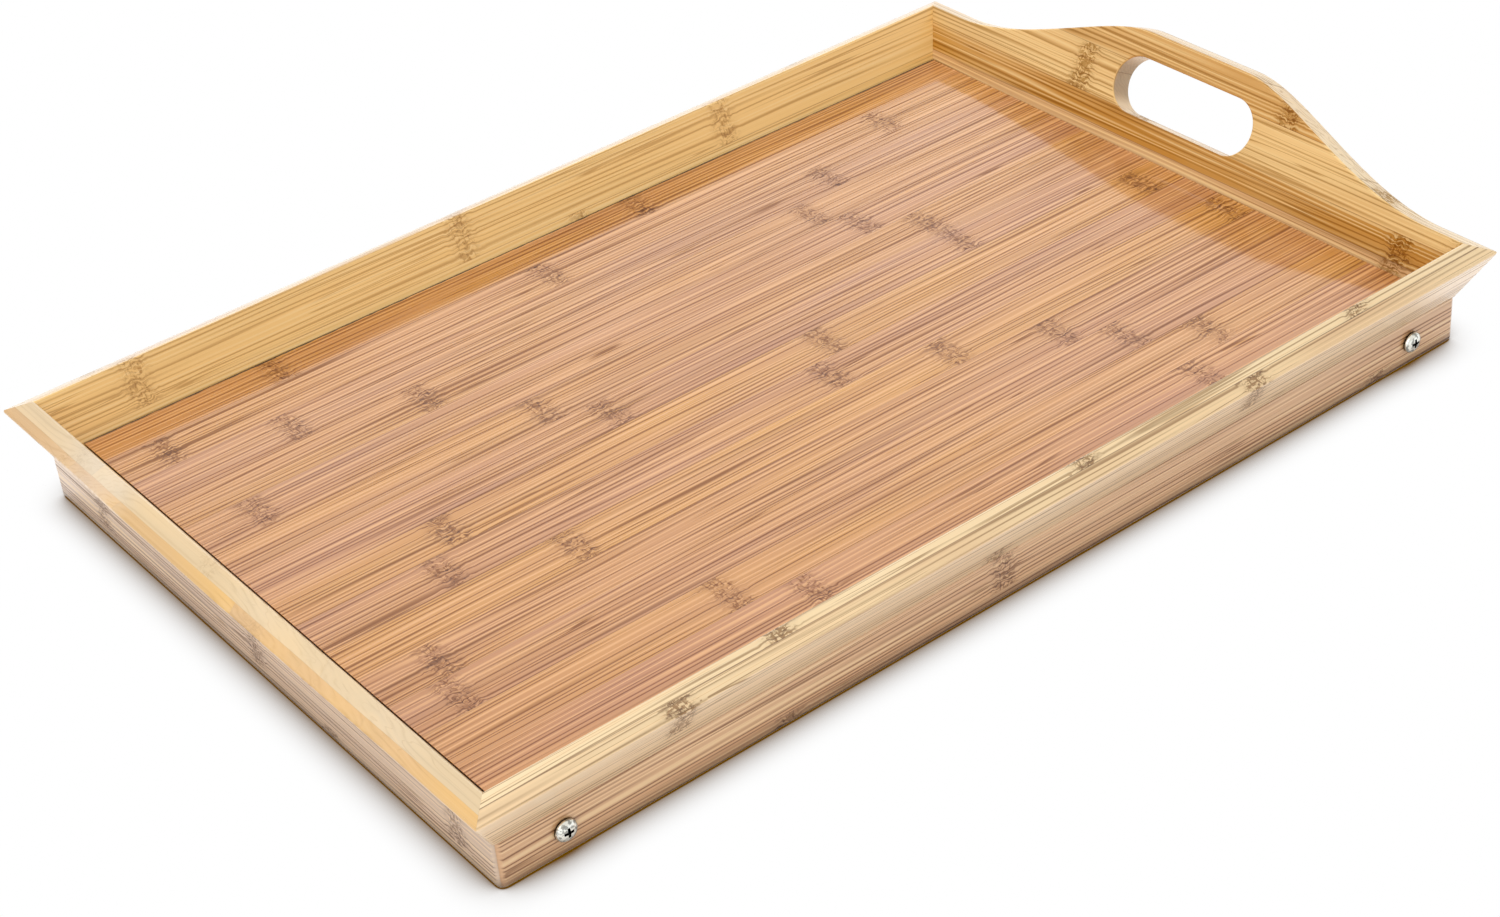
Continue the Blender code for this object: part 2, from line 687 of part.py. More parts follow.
def main():
    """Builds the tray."""
    clear_scene()
    tray = make_collection("bamboo_bed_tray")
    cutters = make_collection("bed_tray_cutters")
    finishes = {name: make_material(name) for name in FINISHES}
    make_panel(tray, finishes["bamboo_panel"])
    for side in ("front", "rear"):
        make_rail(side, tray, finishes["bamboo_rim"])
    for side in ("left", "right"):
        make_handle_board(side, tray, cutters, finishes["bamboo_rim"])
    for side in SIDES:
        make_apron(side, tray, cutters, finishes["bamboo_apron"])
    make_pivots(tray, cutters, finishes["zinc_plated_steel"])
    leg_meshes = {
        True: leg_mesh("leg_blank_far_socket", LEG_THICKNESS, cutters),
        False: leg_mesh("leg_blank_near_socket", 0, cutters),
    }
    for end in ("left", "right"):
        make_leg_frame(end, leg_meshes, tray, finishes["bamboo_legs"])


main()
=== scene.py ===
import json
import math

import bmesh
import bpy
from bpy.props import FloatProperty, FloatVectorProperty, PointerProperty
from mathutils import Matrix, Vector


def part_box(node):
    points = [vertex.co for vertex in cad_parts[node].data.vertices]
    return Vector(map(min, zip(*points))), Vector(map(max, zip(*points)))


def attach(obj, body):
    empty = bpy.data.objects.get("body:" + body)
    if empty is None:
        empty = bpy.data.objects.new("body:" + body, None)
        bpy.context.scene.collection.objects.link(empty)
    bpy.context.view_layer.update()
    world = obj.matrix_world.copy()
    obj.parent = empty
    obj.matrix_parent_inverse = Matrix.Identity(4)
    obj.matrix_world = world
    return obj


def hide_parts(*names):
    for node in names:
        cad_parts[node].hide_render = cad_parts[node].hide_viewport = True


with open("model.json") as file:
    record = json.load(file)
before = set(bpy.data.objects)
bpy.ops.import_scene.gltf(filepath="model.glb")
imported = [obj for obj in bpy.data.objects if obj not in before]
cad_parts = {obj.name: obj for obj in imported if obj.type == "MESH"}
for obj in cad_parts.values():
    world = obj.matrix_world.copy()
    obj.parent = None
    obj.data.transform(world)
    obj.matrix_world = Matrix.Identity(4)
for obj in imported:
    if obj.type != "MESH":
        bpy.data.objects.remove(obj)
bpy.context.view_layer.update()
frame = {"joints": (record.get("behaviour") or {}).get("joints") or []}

bl_info = {
    "name": "Bamboo bed tray",
    "version": (1, 0, 0),
    "blender": (4, 5, 0),
    "location": "3D View > Sidebar > Bed tray",
    "description": "Models a folding bamboo bed tray piece by piece and lights it on a pale floor",
    "category": "Add Mesh",
}

APRON_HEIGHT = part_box("front_apron")[1].z
APRON_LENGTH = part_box("right_apron")[1].x * 2
APRON_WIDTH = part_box("rear_apron")[1].y * 2
PANEL_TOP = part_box("tray_panel")[1].z
SCREW_TOP = -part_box("front_left_screw")[0].y
PIVOT = next(joint["pos_m"] for joint in frame["joints"] if joint["child"] == "right_legs")

UP = Vector((0, 0, 1))
OUTWARD = {
    "front": Vector((0, -1, 0)),
    "rear": Vector((0, 1, 0)),
    "left": Vector((-1, 0, 0)),
    "right": Vector((1, 0, 0)),
}
RIGHT_ANGLE = math.pi / 2
SHARP_ANGLE = math.radians(40)
# How close two points are the same, a point lies in a plane, and a saw passes a point
SAME_PLACE = 0.00001
IN_PLANE = 0.00002
SAW_THRESHOLD = 0.000001
# Wood left round a board until it is sawn, and the length of a drill that goes through
SAW_SPARE = 0.01
THROUGH = 0.06
# Cuts along the top edge of a handle board, and steps of its S curve
TOP_CUTS = 159
CURVE_STEPS = 200
# Radius of the eased edges of the stretchers, nuts and washers, and the cone at a screw's tip
DOWEL_EASING = 0.0006
NUT_EASING = 0.0004
WASHER_EASING = 0.00015
SCREW_TIP = 0.0006
# How far a screw stands out of its nut, and how much its head narrows towards the seat
SCREW_PAST_NUT = 0.0012
SEAT_SHARE = 0.96
# Half lengths of the grain patterns of the panel, the legs and the stretchers
PANEL_PATTERN_REACH = 0.2163
LEG_PATTERN_REACH = 0.2368
ROD_PATTERN_REACH = 0.15
FIBRES_PER_METRE = 480
# How deep a rail's outer colour reaches, and how much deeper below a place on the board
SKIN = 0.0004
FOOT_SKIN = 0.0012
FOOT_SKIN_FROM = -0.02
# The floor's size and drop, and how much smaller its opening is than the lower frame
FLOOR_SIZE = 14
FLOOR_DROP = 0.0001
OPENING_INSET = 0.005


def length(name, description, default):
    """A size in metres that a user may change."""
    values = {"name": name, "description": description, "default": default, "min": 0}
    return FloatProperty(unit="LENGTH", precision=5, **values)


def angle(name, description, degrees):
    """An angle whose first value is given in degrees."""
    values = {"name": name, "description": description, "default": math.radians(degrees)}
    return FloatProperty(subtype="ANGLE", **values)


def power(name, description, default):
    """A lamp's power in watts."""
    return FloatProperty(name=name, description=description, default=default, unit="POWER")


def share(name, description, default):
    """A plain share from 0 to 1."""
    values = {"name": name, "description": description, "default": default, "min": 0, "max": 1}
    return FloatProperty(subtype="FACTOR", **values)


def colour(name, description, default):
    """A finish colour."""
    values = {"name": name, "description": description, "default": default, "min": 0, "max": 1}
    return FloatVectorProperty(subtype="COLOR", **values)


class BedTrayRim(bpy.types.PropertyGroup):
    """Sizes of the four flared boards."""

    rim_length: length("Rim length", "Over the outer top edges, along the tray", 0.4735)
    rim_width: length("Rim width", "Over the outer top edges, across the tray", 0.325)
    rim_height: length("Rim height", "From the floor to the inner top edge of the rails", 0.0431)
    thickness: length("Board thickness", "Of the flared boards", 0.0105)
    flare: angle("Flare", "How far the boards lean outwards", 28.5)
    top_angle: angle("Top edge angle", "How much flatter than square the top edges are planed", 5.5)
    corner_radius: length("Corner radius", "Of the rim's outer corners", 0.0012)
    easing: length("Edge easing", "Radius of the sanded edges", 0.0008)
    joint_gap: length("Joint gap", "Left between two glued pieces", 0.00002)


class BedTrayHandles(bpy.types.PropertyGroup):
    """Sizes of the raised grips and their hand slots."""

    rise: length("Rise", "Of the grip above the rim, up the board", 0.0276)
    grip_half: length("Half grip", "Half length of the level top of the grip", 0.027)
    shoulder_end: length("Shoulder end", "From the middle of the board to the foot of the S curve", 0.136)
    top_ease: length("Top ease", "How long the S curve stays level at its top", 0.0255)
    foot_ease: length("Foot ease", "How long the S curve stays level at its foot", 0.041)
    slot_length: length("Slot length", "Of the hand slot", 0.0776)
    slot_height: length("Slot height", "Of the hand slot, up the board", 0.0245)
    slot_above: length("Slot middle", "From the rim to the middle line of the slot, up the board", 0.0045)
    slot_aside: length("Slot aside", "How far the slot sits towards the right end, seen from outside", 0.0015)


class BedTrayBase(bpy.types.PropertyGroup):
    """Sizes of the panel and the upright lower frame."""

    apron_thickness: length("Apron thickness", "Of the upright strips", 0.015)
    setback: length("Setback", "How far the strips are planed down to meet the boards' feet", 0.0007)
    foot_easing: length("Foot easing", "Radius of the aprons' lower outer edge", 0.0016)
    ledge_easing: length("Ledge easing", "Radius of the ledge under the flared boards", 0.00004)
    corner_radius: length("Corner radius", "Of the lower frame's outer corners", 0.003)
    # Width of the painted highlight along the lower frame's top ledge and at its ends
    highlight_band: length("Highlight band", "Width of the paler, sanded edge of the lower frame", 0.0009)
    panel_thickness: length("Panel thickness", "Of the laminated panel", 0.0041)
    panel_gap: length("Panel gap", "Between the panel and the boards round it", 0.00045)
    panel_easing: length("Panel easing", "Radius of the panel's upper edge", 0.0003)


class BedTrayLegs(bpy.types.PropertyGroup):
    """Sizes of the folding leg frames."""

    feet_gap: length("Feet gap", "Between the feet of the two folded leg frames", 0.0406)
    head: length("Head", "How far a leg reaches beyond its pivot", 0.0078)
    width: length("Leg width", "Of a leg", 0.014)
    thickness: length("Leg thickness", "Of a leg", 0.0105)
    inset: length("Leg place", "From the apron's inner face to the leg", 0.0016)
    easing: length("Leg easing", "Radius of the sanded edges", 0.001)
    foot_radius: length("Foot radius", "Of a foot's two corners", 0.0035)
    splay: angle("Splay", "How far the standing legs lean outwards", 10)
    stretcher_diameter: length("Stretcher diameter", "Of the round dowel between two legs", 0.01)
    stretcher_place: length("Stretcher place", "From the foot to the stretcher", 0.062)
    socket_depth: length("Socket depth", "How deep the stretcher sits in a leg", 0.006)


class BedTrayFittings(bpy.types.PropertyGroup):
    """Sizes of the pivot screws, washers and lock nuts."""

    head_diameter: length("Head diameter", "Of the pan head", 0.0085)
    head_height: length("Head height", "Of the pan head", 0.0028)
    head_edge: length("Head edge", "Height of the head's straight rim", 0.0008)
    shank_diameter: length("Shank diameter", "Of the screw", 0.0045)
    recess_span: length("Recess span", "Across the driver recess where it leaves the head", 0.0044)
    recess_width: length("Recess width", "Of one arm of the driver recess", 0.0012)
    recess_depth: length("Recess depth", "Of the driver recess", 0.0017)
    washer_diameter: length("Washer diameter", "Of the flat washer", 0.0108)
    washer_thickness: length("Washer thickness", "Of the flat washer", 0.001)
    nut_flats: length("Nut flats", "Across the flats of the lock nut", 0.008)
    nut_height: length("Nut height", "Of the lock nut with its collar", 0.0042)
    collar_diameter: length("Collar diameter", "Of the lock nut's round collar", 0.0068)
    collar_height: length("Collar height", "Of the lock nut's round collar", 0.0011)
    clearance: length("Clearance", "Round the screw in its holes", 0.0003)


class BedTrayFinish(bpy.types.PropertyGroup):
    """Colours and gloss of the bamboo and the zinc."""

    panel_light: colour("Panel light", "Yellow strips of the panel", (0.66, 0.29, 0.028))
    panel_dark: colour("Panel dark", "Pink strips of the panel", (0.475, 0.185, 0.075))
    fibre: colour("Fibre", "What the dark lines of the rails and lower frame let through", (0.38, 0.29, 0.2))
    wall_fibre: colour("Wall fibre", "What the fibre lines inside the boards let through", (0.56, 0.46, 0.31))
    panel_fibre: colour("Panel fibre", "What the panel's dark fibre lines let through", (0.4, 0.29, 0.16))
    panel_pale: colour("Pale fibre", "Pale lines between the panel's fibres", (0.86, 0.45, 0.17))
    wall_pale: colour("Pale board fibre", "Pale lines between the boards' fibres", (0.97, 0.68, 0.3))
    grip_light: colour("Grip light", "Light strips of the handle boards", (0.94, 0.62, 0.25))
    grip_dark: colour("Grip dark", "Deep golden strip of the handle boards", (0.56, 0.23, 0.006))
    foot: colour("Foot strip", "Narrow strip at the foot of the handle board", (0.74, 0.42, 0.17))
    wall_light: colour("Wall light", "Light strips on the inner faces of the boards", (0.97, 0.63, 0.225))
    wall_dark: colour("Wall dark", "Dark strips on the inner faces of the boards", (0.87, 0.51, 0.135))
    cream: colour("Cream", "Pale inner layer along the rails' top edges", (0.97, 0.76, 0.46))
    outer_cream: colour("Outer cream", "Of the front rail's outer layer", (0.95, 0.72, 0.39))
    honey: colour("Honey", "Warmer outer layer along the rails' top edges", (0.77, 0.49, 0.175))
    grip_cream: colour("Grip cream", "Inner layer along the handle boards' top edges", (0.75, 0.56, 0.33))
    grip_honey: colour("Grip honey", "Outer layer along the handle boards' top edges", (0.66, 0.4, 0.185))
    grip_top: colour("Grip top", "Light strips of the right board's sawn edges", (0.92, 0.72, 0.46))
    grip_top_dark: colour("Grip top dark", "Dark strips of the right board's sawn edges", (0.8, 0.58, 0.35))
    face_light: colour("Face light", "Light strips on the front rail's outer face", (1.0, 0.72, 0.42))
    face_dark: colour("Face dark", "Dark strips on the front rail's outer face", (0.86, 0.56, 0.3))
    apron_light: colour("Apron light", "Light strips of the lower frame", (0.74, 0.425, 0.205))
    apron_dark: colour("Apron dark", "Dark strips of the lower frame", (0.56, 0.29, 0.13))
    end_light: colour("End strip light", "Light strips of the lower frame's short sides", (0.71, 0.47, 0.288))
    end_dark: colour("End strip dark", "Dark strips of the lower frame's short sides", (0.51, 0.32, 0.187))
    zinc: colour("Zinc", "Plating of screws, washers and nuts", (0.78, 0.765, 0.68))
    # Painted shade and dark reflections in the screws' recesses and round their heads
    recess: colour("Recess", "Zinc in the screws' recesses and round their heads", (0.035, 0.03, 0.02))
    panel_gloss: share("Panel gloss", "Roughness of the panel's lacquer", 0.09)
    board_gloss: share("Board gloss", "Roughness of the boards' lacquer", 0.3)


class BedTrayStudio(bpy.types.PropertyGroup):
    """Lamps, floor and camera."""

    ambient: share("Ambient", "Strength of the surrounding light", 0.68)
    overhead: power("Overhead", "Power of the lamp above", 18)
    rear: power("Rear", "Power of the lamp behind", 12)
    key: power("Key", "Power of the lamp at the front left", 9.5)
    floor: colour("Floor", "Colour of the floor", (0.905, 0.955, 1.0))
    # Painted shade on the floor close to the tray, seen in light bounced off it
    floor_shade: colour("Floor shade", "Colour of the floor close to the tray", (0.68, 0.695, 0.72))
    # Colour and depth of the painted contact shadow that the camera sees
    shadow: colour("Shadow", "Of the floor where the tray meets it", (0.14, 0.06, 0.0))
    shadow_depth: FloatProperty(name="Shadow depth", description="Near the tray", default=3.2, min=0)
    floor_glow: share("Floor glow", "How much lighter reflections show the open floor", 0.36)
    contact: length("Contact shadow", "How far the darkest shadow reaches from the tray", 0.0185)
    lens: FloatProperty(name="Lens", description="Focal length in millimetres", default=68.044, min=1)


def settings():
    """The tray's property groups, by their short names."""
    scene = bpy.context.scene
    return {name: getattr(scene, "bed_tray_" + name) for name in GROUPS}


def bore_of(tray):
    """Diameter of the holes round the pivot screws."""
    fittings = tray["fittings"]
    return fittings.shank_diameter + 2 * fittings.clearance


# Working on one piece


def activate(piece):
    """Makes a piece the only selected one."""
    bpy.ops.object.select_all(action="DESELECT")
    piece.select_set(True)
    bpy.context.view_layer.objects.active = piece


def enter_edit(piece):
    """Starts to edit a piece, with all of it selected."""
    activate(piece)
    bpy.ops.object.mode_set(mode="EDIT")
    bpy.ops.mesh.select_all(action="SELECT")


def leave_edit():
    """Turns all faces outwards and goes back to the object."""
    bpy.ops.mesh.select_all(action="SELECT")
    bpy.ops.mesh.normals_make_consistent(inside=False)
    bpy.ops.object.mode_set(mode="OBJECT")


def take(add, name, **options):
    """Deselects everything and adds a primitive as the piece to work on."""
    bpy.ops.object.select_all(action="DESELECT")
    add(**options)
    piece = bpy.context.object
    piece.name = name
    piece.data.name = name
    return piece


def take_block(name, size, middle=(0, 0, 0)):
    """A blank sawn to size round a middle, left in edit mode."""
    piece = take(bpy.ops.mesh.primitive_cube_add, name, size=1)
    enter_edit(piece)
    bpy.ops.transform.resize(value=size)
    bpy.ops.transform.translate(value=middle)
    return piece


def take_rod(name, diameter, height, middle=(0, 0, 0), sides=48):
    """A round blank along Z, left in edit mode."""
    options = {"vertices": sides, "radius": diameter / 2, "depth": height}
    piece = take(bpy.ops.mesh.primitive_cylinder_add, name, **options)
    enter_edit(piece)
    bpy.ops.transform.translate(value=middle)
    return piece


def pick(piece, kind, wanted):
    """Selects only the vertices, edges or faces of the edited piece that a test wants."""
    bpy.ops.mesh.select_mode(type=kind)
    bpy.ops.mesh.select_all(action="DESELECT")
    mesh = bmesh.from_edit_mesh(piece.data)
    items = {"VERT": mesh.verts, "EDGE": mesh.edges, "FACE": mesh.faces}[kind]
    for item in [item for item in items if wanted(item)]:
        item.select_set(True)
    mesh.select_flush_mode()
    bmesh.update_edit_mesh(piece.data)


def push(piece, way, wanted):
    """Moves the vertices of the edited piece that a test wants."""
    pick(piece, "VERT", wanted)
    bpy.ops.transform.translate(value=way)


def cut_away(place, normal):
    """Saws off what lies in front of a plane and closes the cut."""
    bpy.ops.mesh.select_all(action="SELECT")
    options = {"use_fill": True, "clear_outer": True, "threshold": SAW_THRESHOLD}
    bpy.ops.mesh.bisect(plane_co=place, plane_no=normal, **options)


def apply_modifier(piece, kind, name, **values):
    """Adds a modifier with its values and applies it."""
    activate(piece)
    modifier = piece.modifiers.new(name, kind)
    for key, value in values.items():
        setattr(modifier, key, value)
    bpy.ops.object.modifier_apply(modifier=name)


def carve(piece, cutter, operation="DIFFERENCE"):
    """Cuts a second solid out of a piece, or joins it on, and throws it away."""
    apply_modifier(piece, "BOOLEAN", "carved", operation=operation, solver="EXACT", object=cutter)
    bpy.data.objects.remove(cutter)


def drill(piece, diameter, depth=THROUGH, middle=(0, 0, 0), sides=32):
    """Bores a round hole along Z, as deep on both sides of its middle."""
    hole = take_rod("drill", diameter, depth, middle, sides)
    leave_edit()
    carve(piece, hole)


def tidy_flats(piece):
    """Merges what a cut left in pieces on the flat faces."""
    enter_edit(piece)
    bpy.ops.mesh.remove_doubles(threshold=SAME_PLACE)
    bpy.ops.mesh.dissolve_limited(angle_limit=math.radians(0.1))
    leave_edit()


def ease_edges(piece, width, marks, segments=3):
    """Rounds edges with one bevel. Each mark is a bevel weight and the test of its edges."""
    enter_edit(piece)
    for weight, wanted in marks:
        pick(piece, "EDGE", lambda edge: edge.calc_face_angle(0) > SHARP_ANGLE / 2 and wanted(edge))
        bpy.ops.transform.edge_bevelweight(value=weight)
    bpy.ops.object.mode_set(mode="OBJECT")
    values = {"limit_method": "WEIGHT", "use_clamp_overlap": False}
    apply_modifier(piece, "BEVEL", "eased", width=width, segments=segments, **values)


def shade(piece):
    """Shades the rounded edges smooth and keeps the flats flat."""
    activate(piece)
    bpy.ops.object.shade_smooth_by_angle(angle=SHARP_ANGLE)
    apply_modifier(piece, "WEIGHTED_NORMAL", "flats", keep_sharp=True)


def place_piece(piece, matrix):
    """Moves a piece from the bench to its place and settles it there."""
    activate(piece)
    piece.matrix_world = matrix
    bpy.ops.object.transform_apply(location=True, rotation=True, scale=True)


def copy_piece(piece, name):
    """A copy with its own mesh."""
    activate(piece)
    bpy.ops.object.duplicate(linked=False)
    twin = bpy.context.object
    twin.name = name
    twin.data.name = name
    return twin


def hand_over(piece, node, material, body="tray"):
    """Gives a piece its finish and its body, and hides the CAD node that it stands for."""
    piece.data.materials.clear()
    piece.data.materials.append(material)
    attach(piece, body)
    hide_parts(node)


# Geometry that several pieces share


def placement(right, up, through, origin):
    """A matrix that turns X, Y and Z to three directions and moves to an origin."""
    matrix = Matrix((right, up, through)).transposed().to_4x4()
    matrix.translation = origin
    return matrix


def along(side):
    """The direction in which a side runs, with its outer face towards the viewer."""
    return UP.cross(OUTWARD[side])


def half_of(half, side):
    """Half sizes of a side: across the tray, and along the side."""
    return (half.y, half.x) if side in ("front", "rear") else (half.x, half.y)


def upright_place(side, distance, height=0.0):
    """A placement with X along a side, Y up and Z outwards."""
    return placement(along(side), UP, OUTWARD[side], OUTWARD[side] * distance + UP * height)


def rim_half(rim):
    """Half sizes of the rim over its outer top edges."""
    return Vector((rim.rim_length, rim.rim_width)) / 2


def inner_half(rim):
    """Half sizes of the rim over its inner top edges."""
    run = rim.thickness * (math.cos(rim.flare) + math.tan(rim.top_angle) * math.sin(rim.flare))
    return rim_half(rim) - Vector((run, run))


def outer_height(rim):
    """Height of the rim's outer top edge."""
    fall = math.sin(rim.flare) - math.tan(rim.top_angle) * math.cos(rim.flare)
    return rim.rim_height - rim.thickness * fall


def board_place(rim, side):
    """A placement with X along a flared board, Y up its inner face and Z outwards through it."""
    up_board = OUTWARD[side] * math.sin(rim.flare) + UP * math.cos(rim.flare)
    through = OUTWARD[side] * math.cos(rim.flare) - UP * math.sin(rim.flare)
    origin = OUTWARD[side] * half_of(inner_half(rim), side)[0] + UP * rim.rim_height
    return placement(along(side), up_board, through, origin)


def mitre_planes(side, half, gap):
    """The two upright 45 degree planes that end a side."""
    across, reach = half_of(half, side)
    planes = []
    for direction in (along(side), -along(side)):
        normal = (direction - OUTWARD[side]).normalized()
        corner = OUTWARD[side] * across + direction * reach
        planes.append((corner - normal * gap / 2, normal))
    return planes


def corner_planes(side, half, height, radius, flare, steps=6):
    """Planes that round the outer corners of a side, half sizes given at a height."""
    across, reach = half_of(half, side)
    planes = []
    for direction in (along(side), -along(side)):
        center = OUTWARD[side] * (across - radius) + direction * (reach - radius) + UP * height
        for step in range(1, steps + 1):
            bend = RIGHT_ANGLE / 2 * step / steps
            normal = OUTWARD[side] * math.cos(bend) + direction * math.sin(bend)
            lean = math.tan(flare) * (math.cos(bend) + math.sin(bend))
            planes.append((center + normal * radius, normal - UP * lean))
    return planes


def saw_along(place, planes):
    """Saws the edited piece along planes of the tray. Returns them as they lie on the bench."""
    to_bench = place.inverted()
    turn = to_bench.to_3x3()
    on_bench = [(to_bench @ point, turn @ normal) for point, normal in planes]
    for point, normal in on_bench:
        cut_away(point, normal)
    leave_edit()
    return on_bench


def lies_in(edge, *planes):
    """Whether an edge lies in any of some planes."""
    return any(
        all(abs((vert.co - place).dot(normal.normalized())) < IN_PLANE for vert in edge.verts)
        for place, normal in planes
    )


def rise_of(edge):
    """How far an edge runs along Z."""
    return abs(edge.verts[0].co.z - edge.verts[1].co.z)


def saw_board(rim, side, top_of=None):
    """A flared board, flat on the bench: sawn, planed, mitred and rounded at its corners."""
    reach = half_of(rim_half(rim), side)[1] + SAW_SPARE
    foot = (rim.rim_height - APRON_HEIGHT) / math.cos(rim.flare) + SAW_SPARE
    middle = (0, -foot / 2, rim.thickness / 2)
    board = take_block(side + "_board", (2 * reach, foot, rim.thickness), middle)

    def on_top(vert):
        return vert.co.y > -foot / 2

    if top_of is not None:
        pick(board, "EDGE", lambda edge: abs(edge.verts[0].co.x - edge.verts[1].co.x) > reach)
        bpy.ops.mesh.subdivide(number_cuts=TOP_CUTS)
        columns = sorted({round(vert.co.x, 5) for vert in bmesh.from_edit_mesh(board.data).verts})
        for column in columns:
            if top_of(column) > 0:
                way = (0, top_of(column), 0)
                push(board, way, lambda vert: on_top(vert) and abs(vert.co.x - column) < SAME_PLACE)
    planed = (0, rim.thickness * math.tan(rim.top_angle), 0)
    push(board, planed, lambda vert: on_top(vert) and vert.co.z > rim.thickness / 2)
    glued = mitre_planes(side, inner_half(rim), rim.joint_gap)
    glued.append((UP * APRON_HEIGHT, -UP))
    corners = corner_planes(side, rim_half(rim), outer_height(rim), rim.corner_radius, rim.flare)
    return board, saw_along(board_place(rim, side), glued + corners)[: len(glued)]


def grip_top(handles):
    """The height of a handle board's top edge above the rim, for a place along it."""
    foot, grip = Vector((handles.shoulder_end, 0)), Vector((handles.grip_half, handles.rise))
    foot_handle = foot - Vector((handles.foot_ease, 0))
    grip_handle = grip + Vector((handles.top_ease, 0))
    points = []
    for step in range(CURVE_STEPS + 1):
        way = step / CURVE_STEPS
        rest = 1 - way
        first = grip * rest**3 + grip_handle * 3 * rest**2 * way
        second = foot_handle * 3 * rest * way**2 + foot * way**3
        points.append(first + second)

    def height(place):
        place = abs(place)
        if place <= grip.x:
            return grip.y
        for before, after in zip(points, points[1:]):
            if place <= after.x:
                way = (place - before.x) / (after.x - before.x)
                return before.y + (after.y - before.y) * way
        return 0.0

    return height


# Node groups and materials


class Nodes:
    """Adds shader nodes to one tree and links them."""

    def __init__(self, tree):
        self.tree = tree

    def feed(self, node, inputs):
        """Sets or links a node's inputs by name or number."""
        for key, value in inputs.items():
            if isinstance(value, bpy.types.NodeSocket):
                self.tree.links.new(value, node.inputs[key])
            else:
                node.inputs[key].default_value = value

    def put(self, kind, inputs=None, **values):
        """Adds a node, sets its values and feeds it."""
        node = self.tree.nodes.new("ShaderNode" + kind)
        for key, value in values.items():
            setattr(node, key, value)
        self.feed(node, inputs or {})
        return node

    def math(self, operation, *values, clamp=False):
        """The result of a Math node, or of a row of them for more than two values."""
        result = values[0]
        for value in values[1:] or (0.0,):
            node = self.put("Math", {0: result, 1: value}, operation=operation)
            result = node.outputs[0]
        node.use_clamp = clamp
        return result

    def times(self, *values, clamp=False):
        """A product."""
        return self.math("MULTIPLY", *values, clamp=clamp)

    def plus(self, *values, clamp=False):
        """A sum."""
        return self.math("ADD", *values, clamp=clamp)

    def minus(self, *values, clamp=False):
        """A difference."""
        return self.math("SUBTRACT", *values, clamp=clamp)

    def size(self, value):
        """A value without its sign."""
        return self.math("ABSOLUTE", value)

    def sway(self, value, *amounts):
        """A noise swung round zero by some amounts."""
        return self.times(self.minus(value, 0.5), *amounts)

    def ease(self, value, low, high, low_result=0.0, high_result=1.0):
        """A value mapped smoothly from one range to another."""
        inputs = {0: value, 1: low, 2: high, 3: low_result, 4: high_result}
        return self.put("MapRange", inputs, interpolation_type="SMOOTHSTEP").outputs[0]

    def fade(self, value, low, high):
        """One below a range and nothing above it."""
        return self.ease(value, low, high, 1.0, 0.0)

    def mix(self, way, first, second, blend="MIX"):
        """Two colours mixed."""
        inputs = {0: way, 6: first, 7: second}
        return self.put("Mix", inputs, data_type="RGBA", blend_type=blend).outputs[2]

    def tint(self, way, color, stain):
        """A colour stained by another."""
        return self.mix(way, color, stain, "MULTIPLY")

    def either(self, way, first, second):
        """Two values mixed."""
        return self.put("Mix", {0: way, 2: first, 3: second}, data_type="FLOAT").outputs[0]

    def vector(self, *parts):
        """A vector from three values."""
        return self.put("CombineXYZ", dict(enumerate(parts))).outputs[0]

    def vectors(self, operation, first, second):
        """The outputs of a Vector Math node."""
        return self.put("VectorMath", {0: first, 1: second}, operation=operation).outputs

    def noise(self, vector, scales, detail, shift, roughness=0.55):
        """Noise stretched by its own scales, shifted by a value."""
        stretched = self.vectors("MULTIPLY", vector, scales)[0]
        moved = self.vectors("ADD", stretched, shift)[0]
        inputs = {"Vector": moved, "Scale": 1.0, "Detail": detail, "Roughness": roughness}
        return self.put("TexNoise", inputs).outputs[0]


def new_group(name, inputs, outputs):
    """An empty shader group with named sockets: floats, colours and one vector, which has no value."""
    group = bpy.data.node_groups.new(name, "ShaderNodeTree")
    for label, value in inputs.items():
        kind = "Vector" if value is None else "Color" if isinstance(value, tuple) else "Float"
        socket = group.interface.new_socket(label, in_out="INPUT", socket_type="NodeSocket" + kind)
        if value is not None:
            socket.default_value = value
    for label in outputs:
        kind = "Color" if label == "Color" else "Float"
        group.interface.new_socket(label, in_out="OUTPUT", socket_type="NodeSocket" + kind)
    start, end = group.nodes.new("NodeGroupInput"), group.nodes.new("NodeGroupOutput")
    return Nodes(group), start.outputs, end


# Lines, depths and ends of 1 or -1 metre lie outside every board, so they draw nothing
STRIP_INPUTS = {
    "Vector": None,
    "Strip Width": 0.02,
    "Inner Shift": 0.0,
    "Outer Shift": 0.0,
    "Glue Depth": 1.0,
    "Inner Strips": 5.0,
    "Strip Count": 10.0,
    "Foot Line": -1.0,
    "Skin Depth": 1.0,
    "Glue Line Away": 0.0,
    "Edge Line": 1.0,
    "Edge End": 1.0,
}
BAMBOO_INPUTS = {
    "Vector": None,
    "Strip": 0.0,
    "Seam": 1.0,
    "Knuckles": (0.5, 0.5, 0.5, 1),
    "Tone": 0.5,
    "Start": -0.2368,
    "Span": 0.4735,
    "Light": (0.7, 0.4, 0.15, 1),
    "Dark": (0.5, 0.25, 0.1, 1),
    "Outer": 0.0,
    "Fibre": (0.6, 0.5, 0.35, 1),
    "Pale": (0.9, 0.62, 0.32, 1),
    "Line Strength": 0.6,
    "Knuckle Strength": 0.7,
    "Seam Strength": 0.4,
    "Cloud": 0.5,
    "Roughness": 0.4,
    # The edge band: a painted highlight on the lower frame's short sides, a dark line along the panel's rear
    # edge
    "Edge": 0.0,
    "Edge Strength": 0.0,
    "Edge Color": (0.8, 0.7, 0.6, 1),
    # Painted shade towards the foot of a piece, and where it starts and ends
    "Foot Shade": 0.0,
    "Foot From": 0.0,
    "Foot To": 0.006,
    "End Grain": 0.0,
    "Sawn Edge": 0.0,
    "Upward": 0.0,
}


